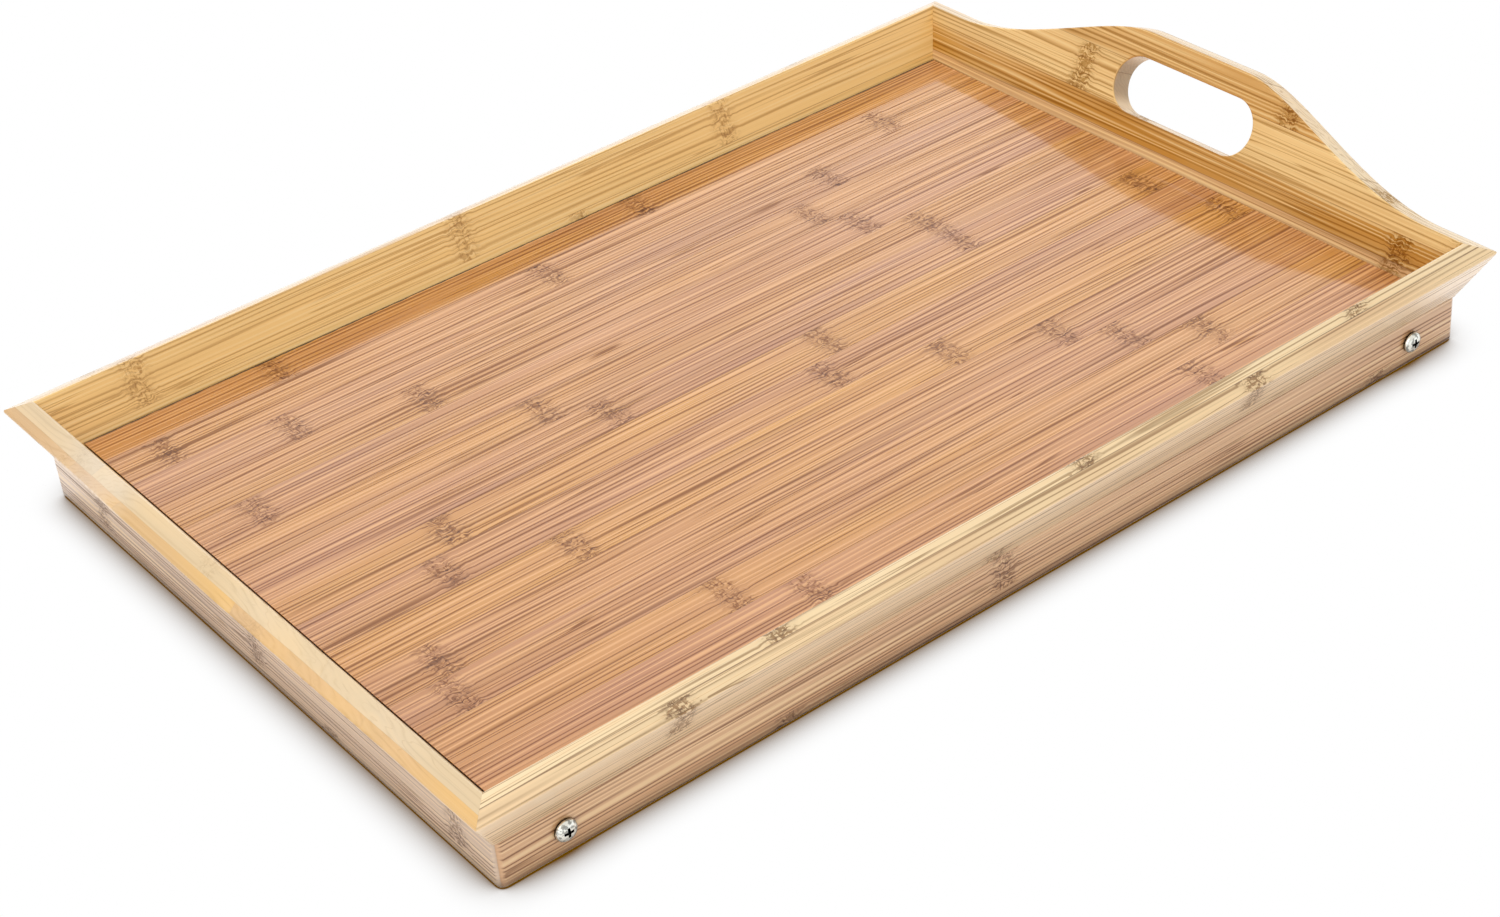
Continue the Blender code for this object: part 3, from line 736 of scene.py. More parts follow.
def strip_group():
    """Splits a board into its glued strips and its two layers."""
    outputs = ("Strip", "Share", "Outer", "Seam", "Foot", "Edge")
    nodes, get, end = new_group("bamboo_strips", STRIP_INPUTS, outputs)
    parts = nodes.put("SeparateXYZ", {0: get["Vector"]}).outputs
    wander = nodes.sway(nodes.noise(get["Vector"], (18, 40, 0), 2, (3, 1, 0)), 0.0006)
    glue = nodes.minus(nodes.plus(parts[2], wander), get["Glue Depth"])
    outer = nodes.math("GREATER_THAN", glue, 0.0)
    shift = nodes.either(outer, get["Inner Shift"], get["Outer Shift"])
    place = nodes.math("DIVIDE", nodes.plus(parts[1], shift), get["Strip Width"])
    part = nodes.math("FRACT", place)
    edge = nodes.math("MINIMUM", part, nodes.minus(1.0, part))
    edge = nodes.times(edge, get["Strip Width"])
    glue_line = nodes.plus(nodes.size(glue), get["Glue Line Away"])
    above = nodes.minus(nodes.plus(parts[1], wander), get["Foot Line"])
    seam = nodes.math("MINIMUM", edge, glue_line, nodes.size(above))
    foot = nodes.math("LESS_THAN", above, 0.0)
    low = nodes.math("LESS_THAN", parts[1], FOOT_SKIN_FROM)
    eased = nodes.times(low, FOOT_SKIN)
    skin = nodes.math("GREATER_THAN", nodes.plus(parts[2], eased), get["Skin Depth"])
    foot = nodes.math("MAXIMUM", foot, skin)
    strip = nodes.plus(nodes.math("FLOOR", place), nodes.times(outer, get["Inner Strips"]))
    whole = nodes.math("DIVIDE", nodes.plus(strip, 0.5), get["Strip Count"])
    # An edge band along a line up the board and at both ends, made ragged by noise: a painted highlight on
    # the lower frame's short sides, a dark line along the panel's rear edge
    rise = nodes.minus(parts[1], get["Edge Line"])
    end_gap = nodes.minus(nodes.size(parts[0]), get["Edge End"])
    ragged = nodes.sway(nodes.noise(get["Vector"], (160, 160, 160), 3, (5, 2, 1)), 0.0016)
    edge_band = nodes.plus(nodes.math("MAXIMUM", rise, end_gap), ragged)
    edge_band = nodes.ease(edge_band, 0.0, 0.0004)
    nodes.feed(end, dict(zip(outputs, (strip, whole, outer, seam, foot, edge_band))))
    return nodes.tree


def bamboo_group():
    """Bamboo seen on a strip: fibre lines, clouds of tone, and a knuckle where the cane had its rings."""
    nodes, get, end = new_group("bamboo", BAMBOO_INPUTS, ("Color", "Roughness", "Height", "Coat"))
    noise, times, ease, fade = nodes.noise, nodes.times, nodes.ease, nodes.fade
    vector = get["Vector"]
    parts = nodes.put("SeparateXYZ", {0: vector}).outputs
    shift = nodes.vector(*[times(get["Strip"], step) for step in (7.31, 3.17, 5.9)])

    # Distance from the nearest ring, in metres
    wobble = nodes.sway(noise(vector, (20, 260, 260), 3, shift, 0.7), 0.008)
    along_board = nodes.minus(nodes.plus(parts[0], wobble), get["Start"])
    along_board = nodes.math("DIVIDE", along_board, get["Span"])
    rings = nodes.put("SeparateColor", {0: get["Knuckles"]}).outputs
    gaps = [nodes.size(nodes.minus(along_board, rings[index])) for index in range(3)]
    nearest = times(nodes.math("MINIMUM", *gaps), get["Span"])
    halo = fade(nearest, 0.001, 0.012)
    broken = ease(noise(vector, (300, 800, 800), 1, shift), 0.38, 0.58)
    ridge = times(fade(nearest, 0.0002, 0.0014), broken)
    swirl = nodes.sway(noise(vector, (210, 240, 240), 2, shift), halo, 0.005)
    across = nodes.plus(parts[1], swirl)
    moved = nodes.vector(parts[0], across, parts[2])

    # Fibre lines, hair lines and ash
    cloud = noise(vector, (12, 75, 75), 1, shift)
    warp = times(noise(moved, (5, 240, 240), 1, shift), 5)
    phase = times(nodes.plus(across, times(parts[2], 0.83)), 2 * FIBRES_PER_METRE)
    phase = nodes.math("PINGPONG", nodes.plus(phase, warp), 1)
    presence = noise(moved, (8, 520, 520), 0, shift)
    lines = times(ease(phase, 0.45, 0.95), ease(presence, 0.34, 0.58))
    pale_lines = times(ease(phase, 0.5, 0.05), ease(presence, 0.68, 0.4))
    hair = nodes.size(nodes.minus(noise(moved, (5, 420, 420), 0, shift), 0.5))
    hair = times(fade(hair, 0.006, 0.024), ease(cloud, 0.46, 0.56))
    lines = nodes.math("MAXIMUM", lines, hair)
    ash = times(ease(noise(vector, (6, 110, 110), 1, shift), 0.52, 0.64), 0.2)

    # Tone of the strip, then the lines
    swing = times(get["Cloud"], nodes.plus(get["Outer"], 1.0))
    tone = nodes.plus(get["Tone"], nodes.sway(cloud, swing), clamp=True)
    color = nodes.mix(tone, get["Dark"], get["Light"])
    color = nodes.tint(ash, color, (0.78, 0.83, 0.88, 1))
    # Faces across the grain are darkened: painted shade, seen on the ends of the hand slots
    color = nodes.tint(ease(get["End Grain"], 0.5, 0.95), color, (0.55, 0.5, 0.45, 1))
    on_face = ease(get["Sawn Edge"], 0.3, 0.8, 1.0, 0.2)
    strength = times(ease(get["End Grain"], 0.1, 0.6, 1.0, 0.1), on_face, get["Line Strength"])
    drawn = times(lines, strength, clamp=True)
    color = nodes.tint(drawn, color, get["Fibre"])
    color = nodes.mix(times(pale_lines, strength, 0.75), color, get["Pale"])

    # Knuckles
    clumps = ease(noise(moved, (260, 1300, 1300), 2, shift, 0.6), 0.49, 0.58)
    clumps = times(clumps, fade(nearest, 0.002, 0.008))
    ripple = ease(noise(moved, (1000, 420, 420), 1, shift), 0.54, 0.6)
    ripple = times(ripple, fade(nearest, 0.002, 0.006))
    knuckle = [times(ridge, 0.15), times(clumps, 0.5), times(ripple, 0.5), times(halo, 0.1)]
    knuckle = times(nodes.plus(*knuckle), on_face, get["Knuckle Strength"], clamp=True)
    color = nodes.tint(knuckle, color, get["Fibre"])

    # Glue seams, the edge band, and painted shade towards the foot
    seam = times(fade(get["Seam"], 0.00004, 0.00028), on_face, get["Seam Strength"])
    color = nodes.tint(seam, color, get["Fibre"])
    # The edge band: a painted highlight on the lower frame's short sides, a dark line along the panel's rear
    # edge
    color = nodes.mix(times(get["Edge"], get["Edge Strength"]), color, get["Edge Color"])
    # Painted shade, darker towards the foot of a piece, left off faces that look down
    low = times(fade(parts[1], get["Foot From"], get["Foot To"]), get["Foot Shade"])
    low = times(low, ease(get["Upward"], -0.95, -0.6))
    color = nodes.tint(low, color, (0.29, 0.235, 0.13, 1))
    ragged = times(nodes.math("MAXIMUM", drawn, knuckle), 0.75)
    results = {
        "Color": color,
        "Roughness": nodes.plus(get["Roughness"], times(lines, 0.1)),
        "Height": times(nodes.plus(lines, times(knuckle, 0.8), seam), -1.0),
        "Coat": nodes.minus(1.0, ragged, clamp=True),
    }
    nodes.feed(end, results)
    return nodes.tree


GROUPS_BUILT = {}


def built_groups():
    """The two bamboo groups, built once."""
    if not GROUPS_BUILT:
        GROUPS_BUILT.update(strips=strip_group(), bamboo=bamboo_group())
    return GROUPS_BUILT


def three(values):
    """A list filled up to three with its last value."""
    return (list(values) + [values[-1]] * 2)[:3]


def rgba(value):
    """A colour with full alpha."""
    return (*value, 1.0)


def new_material(name):
    """A material, its nodes and its shader."""
    material = bpy.data.materials.new(name)
    material.use_nodes = True
    tree = material.node_tree
    return material, Nodes(tree), tree.nodes["Principled BSDF"]


def bamboo_material(name, place, reach, knuckles, layers, look, gloss, sheen=0.5, smooth_edge=False):
    """Lacquered bamboo. Knuckles lists each strip's tone and the places of up to three rings.

    Layers are the light and dark colours of the inner layer, the outer layer and the foot strip.
    Look holds values of both bamboo groups. The pattern runs from -reach to reach.
    """
    material, nodes, shader = new_material(name)
    groups = built_groups()
    source = nodes.put("TexCoord").outputs
    grain_way, way_up, _ = place.to_3x3().col
    end_grain = nodes.vectors("DOT_PRODUCT", source["Normal"], grain_way)[1]
    upward = nodes.vectors("DOT_PRODUCT", source["Normal"], way_up)[1]
    bench = {
        "Vector": source["Object"],
        "Location": place.to_translation(),
        "Rotation": place.to_euler(),
    }
    turned = nodes.put("Mapping", bench, vector_type="TEXTURE").outputs[0]
    strips = {key: value for key, value in look.items() if key in STRIP_INPUTS}
    strips.update({"Vector": turned, "Strip Count": float(len(knuckles))})
    cut = nodes.put("Group", strips, node_tree=groups["strips"]).outputs
    table = nodes.put("ValToRGB", {0: cut["Share"]})
    ramp = table.color_ramp
    ramp.interpolation = "CONSTANT"
    for index, (tone, *rings) in enumerate(knuckles):
        stop = ramp.elements[0] if index == 0 else ramp.elements.new(index / len(knuckles))
        stop.color = (*three(rings), tone)
    ramp.elements.remove(ramp.elements[-1])
    shades = []
    for inner, outer, foot in zip(*three(layers)):
        shade_of_layer = nodes.mix(cut["Outer"], rgba(inner), rgba(outer))
        shades.append(nodes.mix(cut["Foot"], shade_of_layer, rgba(foot)))
    values = {
        "Vector": turned,
        "Start": -reach,
        "Span": 2 * reach,
        "Knuckles": table.outputs["Color"],
        "Tone": table.outputs["Alpha"],
        "Light": shades[0],
        "Dark": shades[1],
        "End Grain": nodes.size(end_grain),
        "Upward": upward,
        **{key: cut[key] for key in ("Strip", "Seam", "Outer", "Edge")},
        **{key: value for key, value in look.items() if key not in STRIP_INPUTS},
    }
    if smooth_edge:
        values["Sawn Edge"] = nodes.size(upward)
    grain = nodes.put("Group", values, node_tree=groups["bamboo"]).outputs
    bump = nodes.put("Bump", {"Height": grain["Height"], "Strength": 0.25, "Distance": 0.0002})
    finish = {
        "Base Color": grain["Color"],
        "Roughness": grain["Roughness"],
        "Normal": bump.outputs[0],
        "Specular IOR Level": sheen,
        "Coat Weight": grain["Coat"],
        "Coat Roughness": gloss,
    }
    nodes.feed(shader, finish)
    return material


def zinc_material(finish):
    """Zinc plate, cloudy, its darker clouds partly painted reflection, with shade and dark reflections
    painted on the marked faces of the recess and the head's rim.
    """
    material, nodes, shader = new_material("zinc_plated_steel")
    where = nodes.put("TexCoord").outputs["Object"]
    cloud = nodes.noise(where, (700, 700, 700), 2, (1, 2, 3))
    # Darker clouds: uneven plating, and painted dark reflections
    dull_plate_and_reflection = rgba([part * 0.4 for part in finish.zinc])
    color = nodes.mix(nodes.ease(cloud, 0.45, 0.6), rgba(finish.zinc), dull_plate_and_reflection)
    painted_shade_and_reflection = nodes.put("Attribute", attribute_name="painted_shade_and_reflection").outputs["Fac"]
    color = nodes.mix(painted_shade_and_reflection, color, rgba(finish.recess))
    bump = nodes.put("Bump", {"Height": cloud, "Strength": 0.1, "Distance": 0.0001}).outputs[0]
    rough = nodes.ease(cloud, 0.3, 0.7, 0.16, 0.32)
    inputs = {"Base Color": color, "Roughness": rough, "Normal": bump, "Metallic": 1.0}
    nodes.feed(shader, inputs)
    return material


def strengths(lines, knuckles, cloud, seams=0.4):
    """How strongly a bamboo shows its lines, knuckles, clouds of tone and seams."""
    names = ("Line Strength", "Knuckle Strength", "Cloud", "Seam Strength")
    return dict(zip(names, (lines, knuckles, cloud, seams)))


def shares(rows, reach):
    """Turns the ring places of each strip from metres into shares of the board's length."""
    return [(tone, *[(ring + reach) / (2 * reach) for ring in rings]) for tone, *rings in rows]


def board_material(name, side, tray, shifts, rows, layers, look, **more):
    """The finish of one flared board. Shifts are those of its two layers and the glue's depth."""
    rim, finish = tray["rim"], tray["finish"]
    reach = half_of(rim_half(rim), side)[1]
    joints = dict(zip(("Inner Shift", "Outer Shift", "Glue Depth"), shifts))
    look = {"Fibre": rgba(finish.fibre), **joints, **look}
    rows, place = shares(rows, reach), board_place(rim, side)
    return bamboo_material(name, place, reach, rows, layers, look, finish.board_gloss, **more)


def set_pair(rim, board, glued, sides, kind):
    """Sands a sawn board and sets it and a copy of it on their two sides."""
    ease_edges(board, rim.easing, [(1, lambda edge: not lies_in(edge, *glued))])
    shade(board)
    board.name = sides[0] + kind
    twin = copy_piece(board, sides[1] + kind)
    place_piece(board, board_place(rim, sides[0]))
    place_piece(twin, board_place(rim, sides[1]))
    return board, twin


class BEDTRAY_OT_panel(bpy.types.Operator):
    """Add the laminated panel between the flared boards"""

    bl_idname = "bed_tray.panel"
    bl_label = "Panel"

    def execute(self, context):
        tray = settings()
        rim, base, finish = tray["rim"], tray["base"], tray["finish"]
        depth = rim.rim_height - PANEL_TOP
        inset = depth * math.tan(rim.flare) + base.panel_gap / math.cos(rim.flare)
        top = inner_half(rim) - Vector((inset, inset))
        spread = base.panel_thickness * math.tan(rim.flare)
        size = (2 * top.x, 2 * top.y, base.panel_thickness)
        panel = take_block("panel_board", size, (0, 0, PANEL_TOP - base.panel_thickness / 2))
        pick(panel, "FACE", lambda face: face.normal.z < -0.9)
        bpy.ops.transform.resize(value=((top.x - spread) / top.x, (top.y - spread) / top.y, 1))
        leave_edit()
        ease_edges(panel, base.panel_easing, [(1, lambda edge: lies_in(edge, (UP * PANEL_TOP, UP)))])
        shade(panel)
        knuckles = [(0.5, 0.2, 0.6, 0.9), (0.36, 0.328, 0.764), (0.64, 0.275, 0.819), (0.36, 0.048, 0.761)]
        knuckles += [(0.5, 0.06, 0.723), (0.78, 0.225, 0.633, 0.983), (0.4, 0.128, 0.536)]
        knuckles += [(0.74, 0.161, 0.568, 0.963), (0.33, 0.363, 0.771), (0.58, 0.321, 0.771)]
        knuckles += [(0.36, 0.061, 0.726), (0.57, 0.257, 0.703), (0.4, 0.148, 0.761)]
        knuckles += [(0.58, 0.048, 0.459, 0.873), (0.53, 0.186, 0.597)]
        look = {
            "Strip Width": 0.01996,
            "Inner Shift": 0.15616,
            # A dark line drawn along the panel's rear edge, where it meets the rear board
            "Edge Line": top.y - 0.0012,
            "Fibre": rgba(finish.panel_fibre),
            "Pale": rgba(finish.panel_pale),
            **strengths(0.9, 1.1, 0.9),
            "Edge Strength": 0.95,
            "Edge Color": (0.03, 0.012, 0.003, 1),
            "Roughness": 0.34,
        }
        shades = [(finish.panel_light, finish.panel_dark)]
        values = (PANEL_PATTERN_REACH, knuckles, shades, look, finish.panel_gloss)
        material = bamboo_material("panel_bamboo", Matrix(), *values, sheen=0.2)
        hand_over(panel, "tray_panel", material)
        return {"FINISHED"}


class BEDTRAY_OT_rails(bpy.types.Operator):
    """Add the two long flared boards"""

    bl_idname = "bed_tray.rails"
    bl_label = "Rails"

    def execute(self, context):
        tray = settings()
        rim, finish = tray["rim"], tray["finish"]
        board, glued = saw_board(rim, "front")
        front, rear = set_pair(rim, board, glued, ("front", "rear"), "_flared_rail")
        shifts = (0.059, 0.0535, 0.0046)
        inner = [(0.5, 0.1), (0.5, 0.02), (0.7, -0.112, 0.0256, 0.165), (0.5, 0.1), (0.5, 0.1)]
        outer = [(0.5, 0.1), (0.45, -0.0162), (0.5, -0.156, 0.106), (0.5, 0.1), (0.5, 0.1)]
        layers = [(finish.cream, finish.honey), (finish.outer_cream, finish.grip_honey)]
        layers.append((finish.face_light, finish.face_dark))
        look = {
            **strengths(0.85, 1.8, 0.65, 0.9),
            "Skin Depth": rim.thickness - SKIN,
            # Painted shade, darker towards the board's foot
            "Foot Shade": 0.25,
            "Foot From": -0.024,
            "Foot To": -0.006,
        }
        material = board_material("front_rail_bamboo", "front", tray, shifts, inner + outer, layers, look)
        hand_over(front, "front_rail", material)
        inner = [(0.5, 0.1), (0.45, -0.0184), (0.6, 0.1866, 0.0357, -0.1014), (0.5, 0.1), (0.5, 0.1)]
        outer = [(0.5, 0.1), (0.5, 0.12), (0.6, -0.15, 0.03, 0.2), (0.5, 0.1), (0.5, 0.1)]
        layers = [(finish.wall_light, finish.wall_dark), (finish.cream, finish.apron_dark)]
        look = {
            **strengths(0.8, 1.0, 0.55, 0.7),
            "Fibre": rgba(finish.wall_fibre),
            "Pale": rgba(finish.wall_pale),
        }
        material = board_material("rear_rail_bamboo", "rear", tray, shifts, inner + outer, layers, look)
        hand_over(rear, "rear_rail", material)
        return {"FINISHED"}


class BEDTRAY_OT_handle_boards(bpy.types.Operator):
    """Add the two short flared boards with their grips and hand slots"""

    bl_idname = "bed_tray.handle_boards"
    bl_label = "Handle boards"

    def execute(self, context):
        tray = settings()
        rim, handles, finish = tray["rim"], tray["handles"], tray["finish"]
        board, glued = saw_board(rim, "right", grip_top(handles))
        middle = (-handles.slot_aside, handles.slot_above, 0)
        slot = take_rod("slot_cutter", handles.slot_height, 4 * rim.thickness, middle, 96)
        reach = (handles.slot_length - handles.slot_height) / 2
        for way in (-1, 1):
            push(slot, (way * reach, 0, 0), lambda vert: (vert.co.x - middle[0]) * way > SAME_PLACE)
        leave_edit()
        carve(board, slot)
        tidy_flats(board)
        right, left = set_pair(rim, board, glued, ("right", "left"), "_grip_board")
        inner = [(0.3, 0.05), (0.1, -0.127), (0.85, 0.056, -0.155), (0.4, -0.0565), (0.5, 0.1)]
        outer = [(0.5, 0.1), (0.5, -0.06), (0.6, 0.02, -0.11), (0.6, 0.05), (0.5, 0.1)]
        layers = [(finish.grip_light, finish.grip_dark), (finish.grip_top, finish.grip_top_dark)]
        layers.append((finish.foot, finish.foot))
        look = {
            "Foot Line": -0.0178,
            "Glue Line Away": 1.0,
            **strengths(0.9, 2.0, 1.0, 0.8),
            "Fibre": rgba(finish.wall_fibre),
            "Pale": rgba(finish.wall_pale),
        }
        values = ((0.0467, 0.0535, 0.0006), inner + outer, layers, look)
        material = board_material("right_grip_bamboo", "right", tray, *values, sheen=0.0)
        hand_over(right, "right_handle_board", material)
        inner = [(0.5, 0.05), (0.6, 0.1), (0.9, 0.06, -0.1), (0.8, 0.02), (0.6, 0.1)]
        layers = [(finish.grip_cream, finish.wall_light), (finish.grip_honey, finish.wall_dark)]
        look = {
            **strengths(0.9, 1.5, 0.7, 0.5),
            "Fibre": rgba(finish.wall_fibre),
        }
        values = ((0.0467, 0.0535, 0.0062), inner + outer, layers, look)
        material = board_material("left_grip_bamboo", "left", tray, *values, smooth_edge=True)
        hand_over(left, "left_handle_board", material)
        return {"FINISHED"}


class BEDTRAY_OT_aprons(bpy.types.Operator):
    """Add the upright lower frame"""

    bl_idname = "bed_tray.aprons"
    bl_label = "Aprons"

    def saw_apron(self, tray, side, half):
        """One upright strip, flat on the bench with its inner face down."""
        base = tray["base"]
        across, reach = half_of(half, side)
        thickness = base.apron_thickness - base.setback
        place = upright_place(side, across - thickness)
        size = (2 * reach, APRON_HEIGHT, thickness)
        apron = take_block(side + "_strip", size, (0, APRON_HEIGHT / 2, thickness / 2))
        mitres = mitre_planes(side, half, tray["rim"].joint_gap)
        corners = corner_planes(side, half, 0, base.corner_radius, 0)
        return apron, place, saw_along(place, mitres + corners)[: len(mitres)]

    def execute(self, context):
        tray = settings()
        base, finish = tray["base"], tray["finish"]
        half = Vector((APRON_LENGTH / 2 - base.setback, APRON_WIDTH / 2 - base.setback))
        up_strip = Vector((0, 1, 0))
        foot, ledge = (Vector(), up_strip), (up_strip * APRON_HEIGHT, up_strip)
        rows = {
            "front": [(0.5, 0.0), (0.35, -0.109, 0.181), (0.55, -0.0114), (0.5, 0.0)],
            "rear": [(0.5, 0.0), (0.5, 0.06, -0.12), (0.5, 0.02), (0.5, 0.0)],
            "left": [(0.5, 0.0), (0.5, 0.05), (0.5, -0.1117, 0.002, 0.129), (0.5, 0.0)],
            "right": [(0.5, 0.0), (0.5, 0.05), (0.5, -0.08, 0.1), (0.5, 0.0)],
        }
        long_shades = (finish.apron_light, finish.apron_dark)
        short_shades = (finish.end_light, finish.end_dark)
        # The last value of each pair is the strength of the painted highlight along the strips' top ledge and
        # ends
        pairs = (("front", "rear", long_shades, 0.75, 0.0), ("left", "right", short_shades, 1.5, 0.18))
        for first, second, shades, cloud, edge_band in pairs:
            apron, place, glued = self.saw_apron(tray, first, half)
            if first == "front":
                for end in (-1, 1):
                    drill(apron, bore_of(tray), middle=(end * PIVOT[0], PIVOT[2], 0))
                tidy_flats(apron)
            hidden = [*glued, (Vector(), UP)]
            ledge_weight = base.ledge_easing / base.foot_easing
            marks = [
                (1, lambda edge: lies_in(edge, foot) and not lies_in(edge, *hidden)),
                (ledge_weight, lambda edge: lies_in(edge, ledge) and not lies_in(edge, *hidden)),
            ]
            ease_edges(apron, base.foot_easing, marks, 4)
            shade(apron)
            twin = copy_piece(apron, second + "_strip")
            place_piece(apron, place)
            opposite = upright_place(second, place.to_translation().length)
            place_piece(twin, opposite)
            reach = half_of(half, first)[1]
            look = {
                "Inner Shift": 0.0349,
                # Edge band: a painted highlight along the top ledge and at the ends of the short strips
                "Edge Line": APRON_HEIGHT - base.highlight_band,
                "Edge End": reach - base.highlight_band * 3,
                "Fibre": rgba(finish.fibre),
                **strengths(1.0, 1.2, cloud, 0.2),
                "Edge Strength": edge_band,
                # Painted shade of the floor's contact, darker towards the strips' feet
                "Foot Shade": 1.0,
            }
            for side, piece, where in ((first, apron, place), (second, twin, opposite)):
                values = (reach, shares(rows[side], reach), [shades], look, finish.board_gloss)
                material = bamboo_material(side + "_apron_bamboo", where, *values)
                hand_over(piece, side + "_apron", material)
        return {"FINISHED"}


class BEDTRAY_OT_leg_frames(bpy.types.Operator):
    """Add the two folding leg frames"""

    bl_idname = "bed_tray.leg_frames"
    bl_label = "Leg frames"

    def saw_leg(self, legs, reach):
        """A leg on the bench, its pivot in the middle and its foot at +X. The stop is its square corner."""
        half = legs.width / 2
        slope = half * math.tan(legs.splay)
        size = (legs.head + reach, legs.width, legs.thickness)
        leg = take_block("leg_blank", size, ((reach - legs.head) / 2, 0, legs.thickness / 2))
        for way in (-1, 1):
            push(leg, (-way * slope, 0, 0), lambda vert: vert.co.x > 0 and vert.co.y * way > 0)

        def upright(edge):
            return rise_of(edge) > legs.thickness / 2

        pick(leg, "EDGE", lambda edge: upright(edge) and edge.verts[0].co.x > 0)
        bpy.ops.mesh.bevel(offset=legs.foot_radius, segments=8, affect="EDGES")
        pick(leg, "EDGE", lambda edge: upright(edge) and edge.verts[0].co.x < 0 < edge.verts[0].co.y)
        bpy.ops.mesh.bevel(offset=half * 0.999, segments=16, affect="EDGES")
        leave_edit()
        return leg

    def sand_leg(self, piece, legs, stretcher_at):
        """Rounds the edges of a leg's outline and leaves its bores sharp."""
        wide = legs.width / 2 * 0.9

        def outline(edge):
            low, high = (vert.co for vert in edge.verts)
            on_face = low.z < SAME_PLACE or low.z > legs.thickness - SAME_PLACE
            bored = low.xy.length < wide or (low.xy - Vector((stretcher_at, 0))).length < wide
            return abs(low.z - high.z) < SAME_PLACE and on_face and not bored

        ease_edges(piece, legs.easing, [(1, outline)])
        shade(piece)

    def execute(self, context):
        tray = settings()
        legs, base, fittings, finish = tray["legs"], tray["base"], tray["fittings"], tray["finish"]
        reach = PIVOT[0] - legs.feet_gap / 2
        stretcher_at = reach - legs.stretcher_place
        leg = self.saw_leg(legs, reach)
        drill(leg, bore_of(tray))
        twin = copy_piece(leg, "leg_blank_turned")
        socket_width = legs.stretcher_diameter + 2 * fittings.clearance
        for piece, height in ((leg, 0), (twin, legs.thickness)):
            drill(piece, socket_width, 2 * legs.socket_depth, (stretcher_at, 0, height), 48)
            tidy_flats(piece)
            self.sand_leg(piece, legs, stretcher_at)
        leg_outer = APRON_WIDTH / 2 - base.apron_thickness - legs.inset
        leg_inner = leg_outer - legs.thickness
        width = 2 * (leg_inner + legs.socket_depth - fittings.clearance)
        dowel = take_rod("dowel", legs.stretcher_diameter, width)
        leave_edit()
        ease_edges(dowel, DOWEL_EASING, [(1, lambda edge: rise_of(edge) < 0.001)])
        shade(dowel)
        shades = [(finish.wall_light, finish.apron_light)]
        look = {"Fibre": rgba(finish.fibre), **strengths(0.8, 0.7, 0.8, 0.0)}
        rows = shares([(0.6, -0.13, 0.07, 0.16), (0.7, -0.06, 0.11, 0.2)] * 10, LEG_PATTERN_REACH)
        values = (LEG_PATTERN_REACH, rows, shades, look, finish.board_gloss)
        material = bamboo_material("leg_bamboo", Matrix.Translation((0, -0.2, 0)), *values)
        rows = shares([(0.7, -0.05, 0.07)] * 5, ROD_PATTERN_REACH)
        values = (ROD_PATTERN_REACH, rows, shades, {"Inner Shift": 0.05, **look}, finish.board_gloss)
        turned = Matrix.Rotation(RIGHT_ANGLE, 4, "Z")
        rod_material = bamboo_material("stretcher_bamboo", turned, *values)
        for end in ("left", "right"):
            to_foot, body = -OUTWARD[end], end + "_legs"
            pivot = OUTWARD[end] * PIVOT[0] + UP * PIVOT[2]
            through = to_foot.cross(UP)
            for side in ("front", "rear"):
                inwards = through.dot(OUTWARD[side]) < 0
                piece = copy_piece(twin if inwards else leg, side + "_" + end + "_folding_leg")
                origin = pivot + OUTWARD[side] * (leg_outer if inwards else leg_inner)
                place_piece(piece, placement(to_foot, UP, through, origin))
                hand_over(piece, side + "_" + end + "_leg", material, body)
            rod = copy_piece(dowel, end + "_dowel")
            origin = pivot + to_foot * stretcher_at
            place_piece(rod, placement(along("front"), UP, OUTWARD["front"], origin))
            hand_over(rod, end + "_stretcher", rod_material, body)
        for blank in (leg, twin, dowel):
            bpy.data.objects.remove(blank)
        return {"FINISHED"}


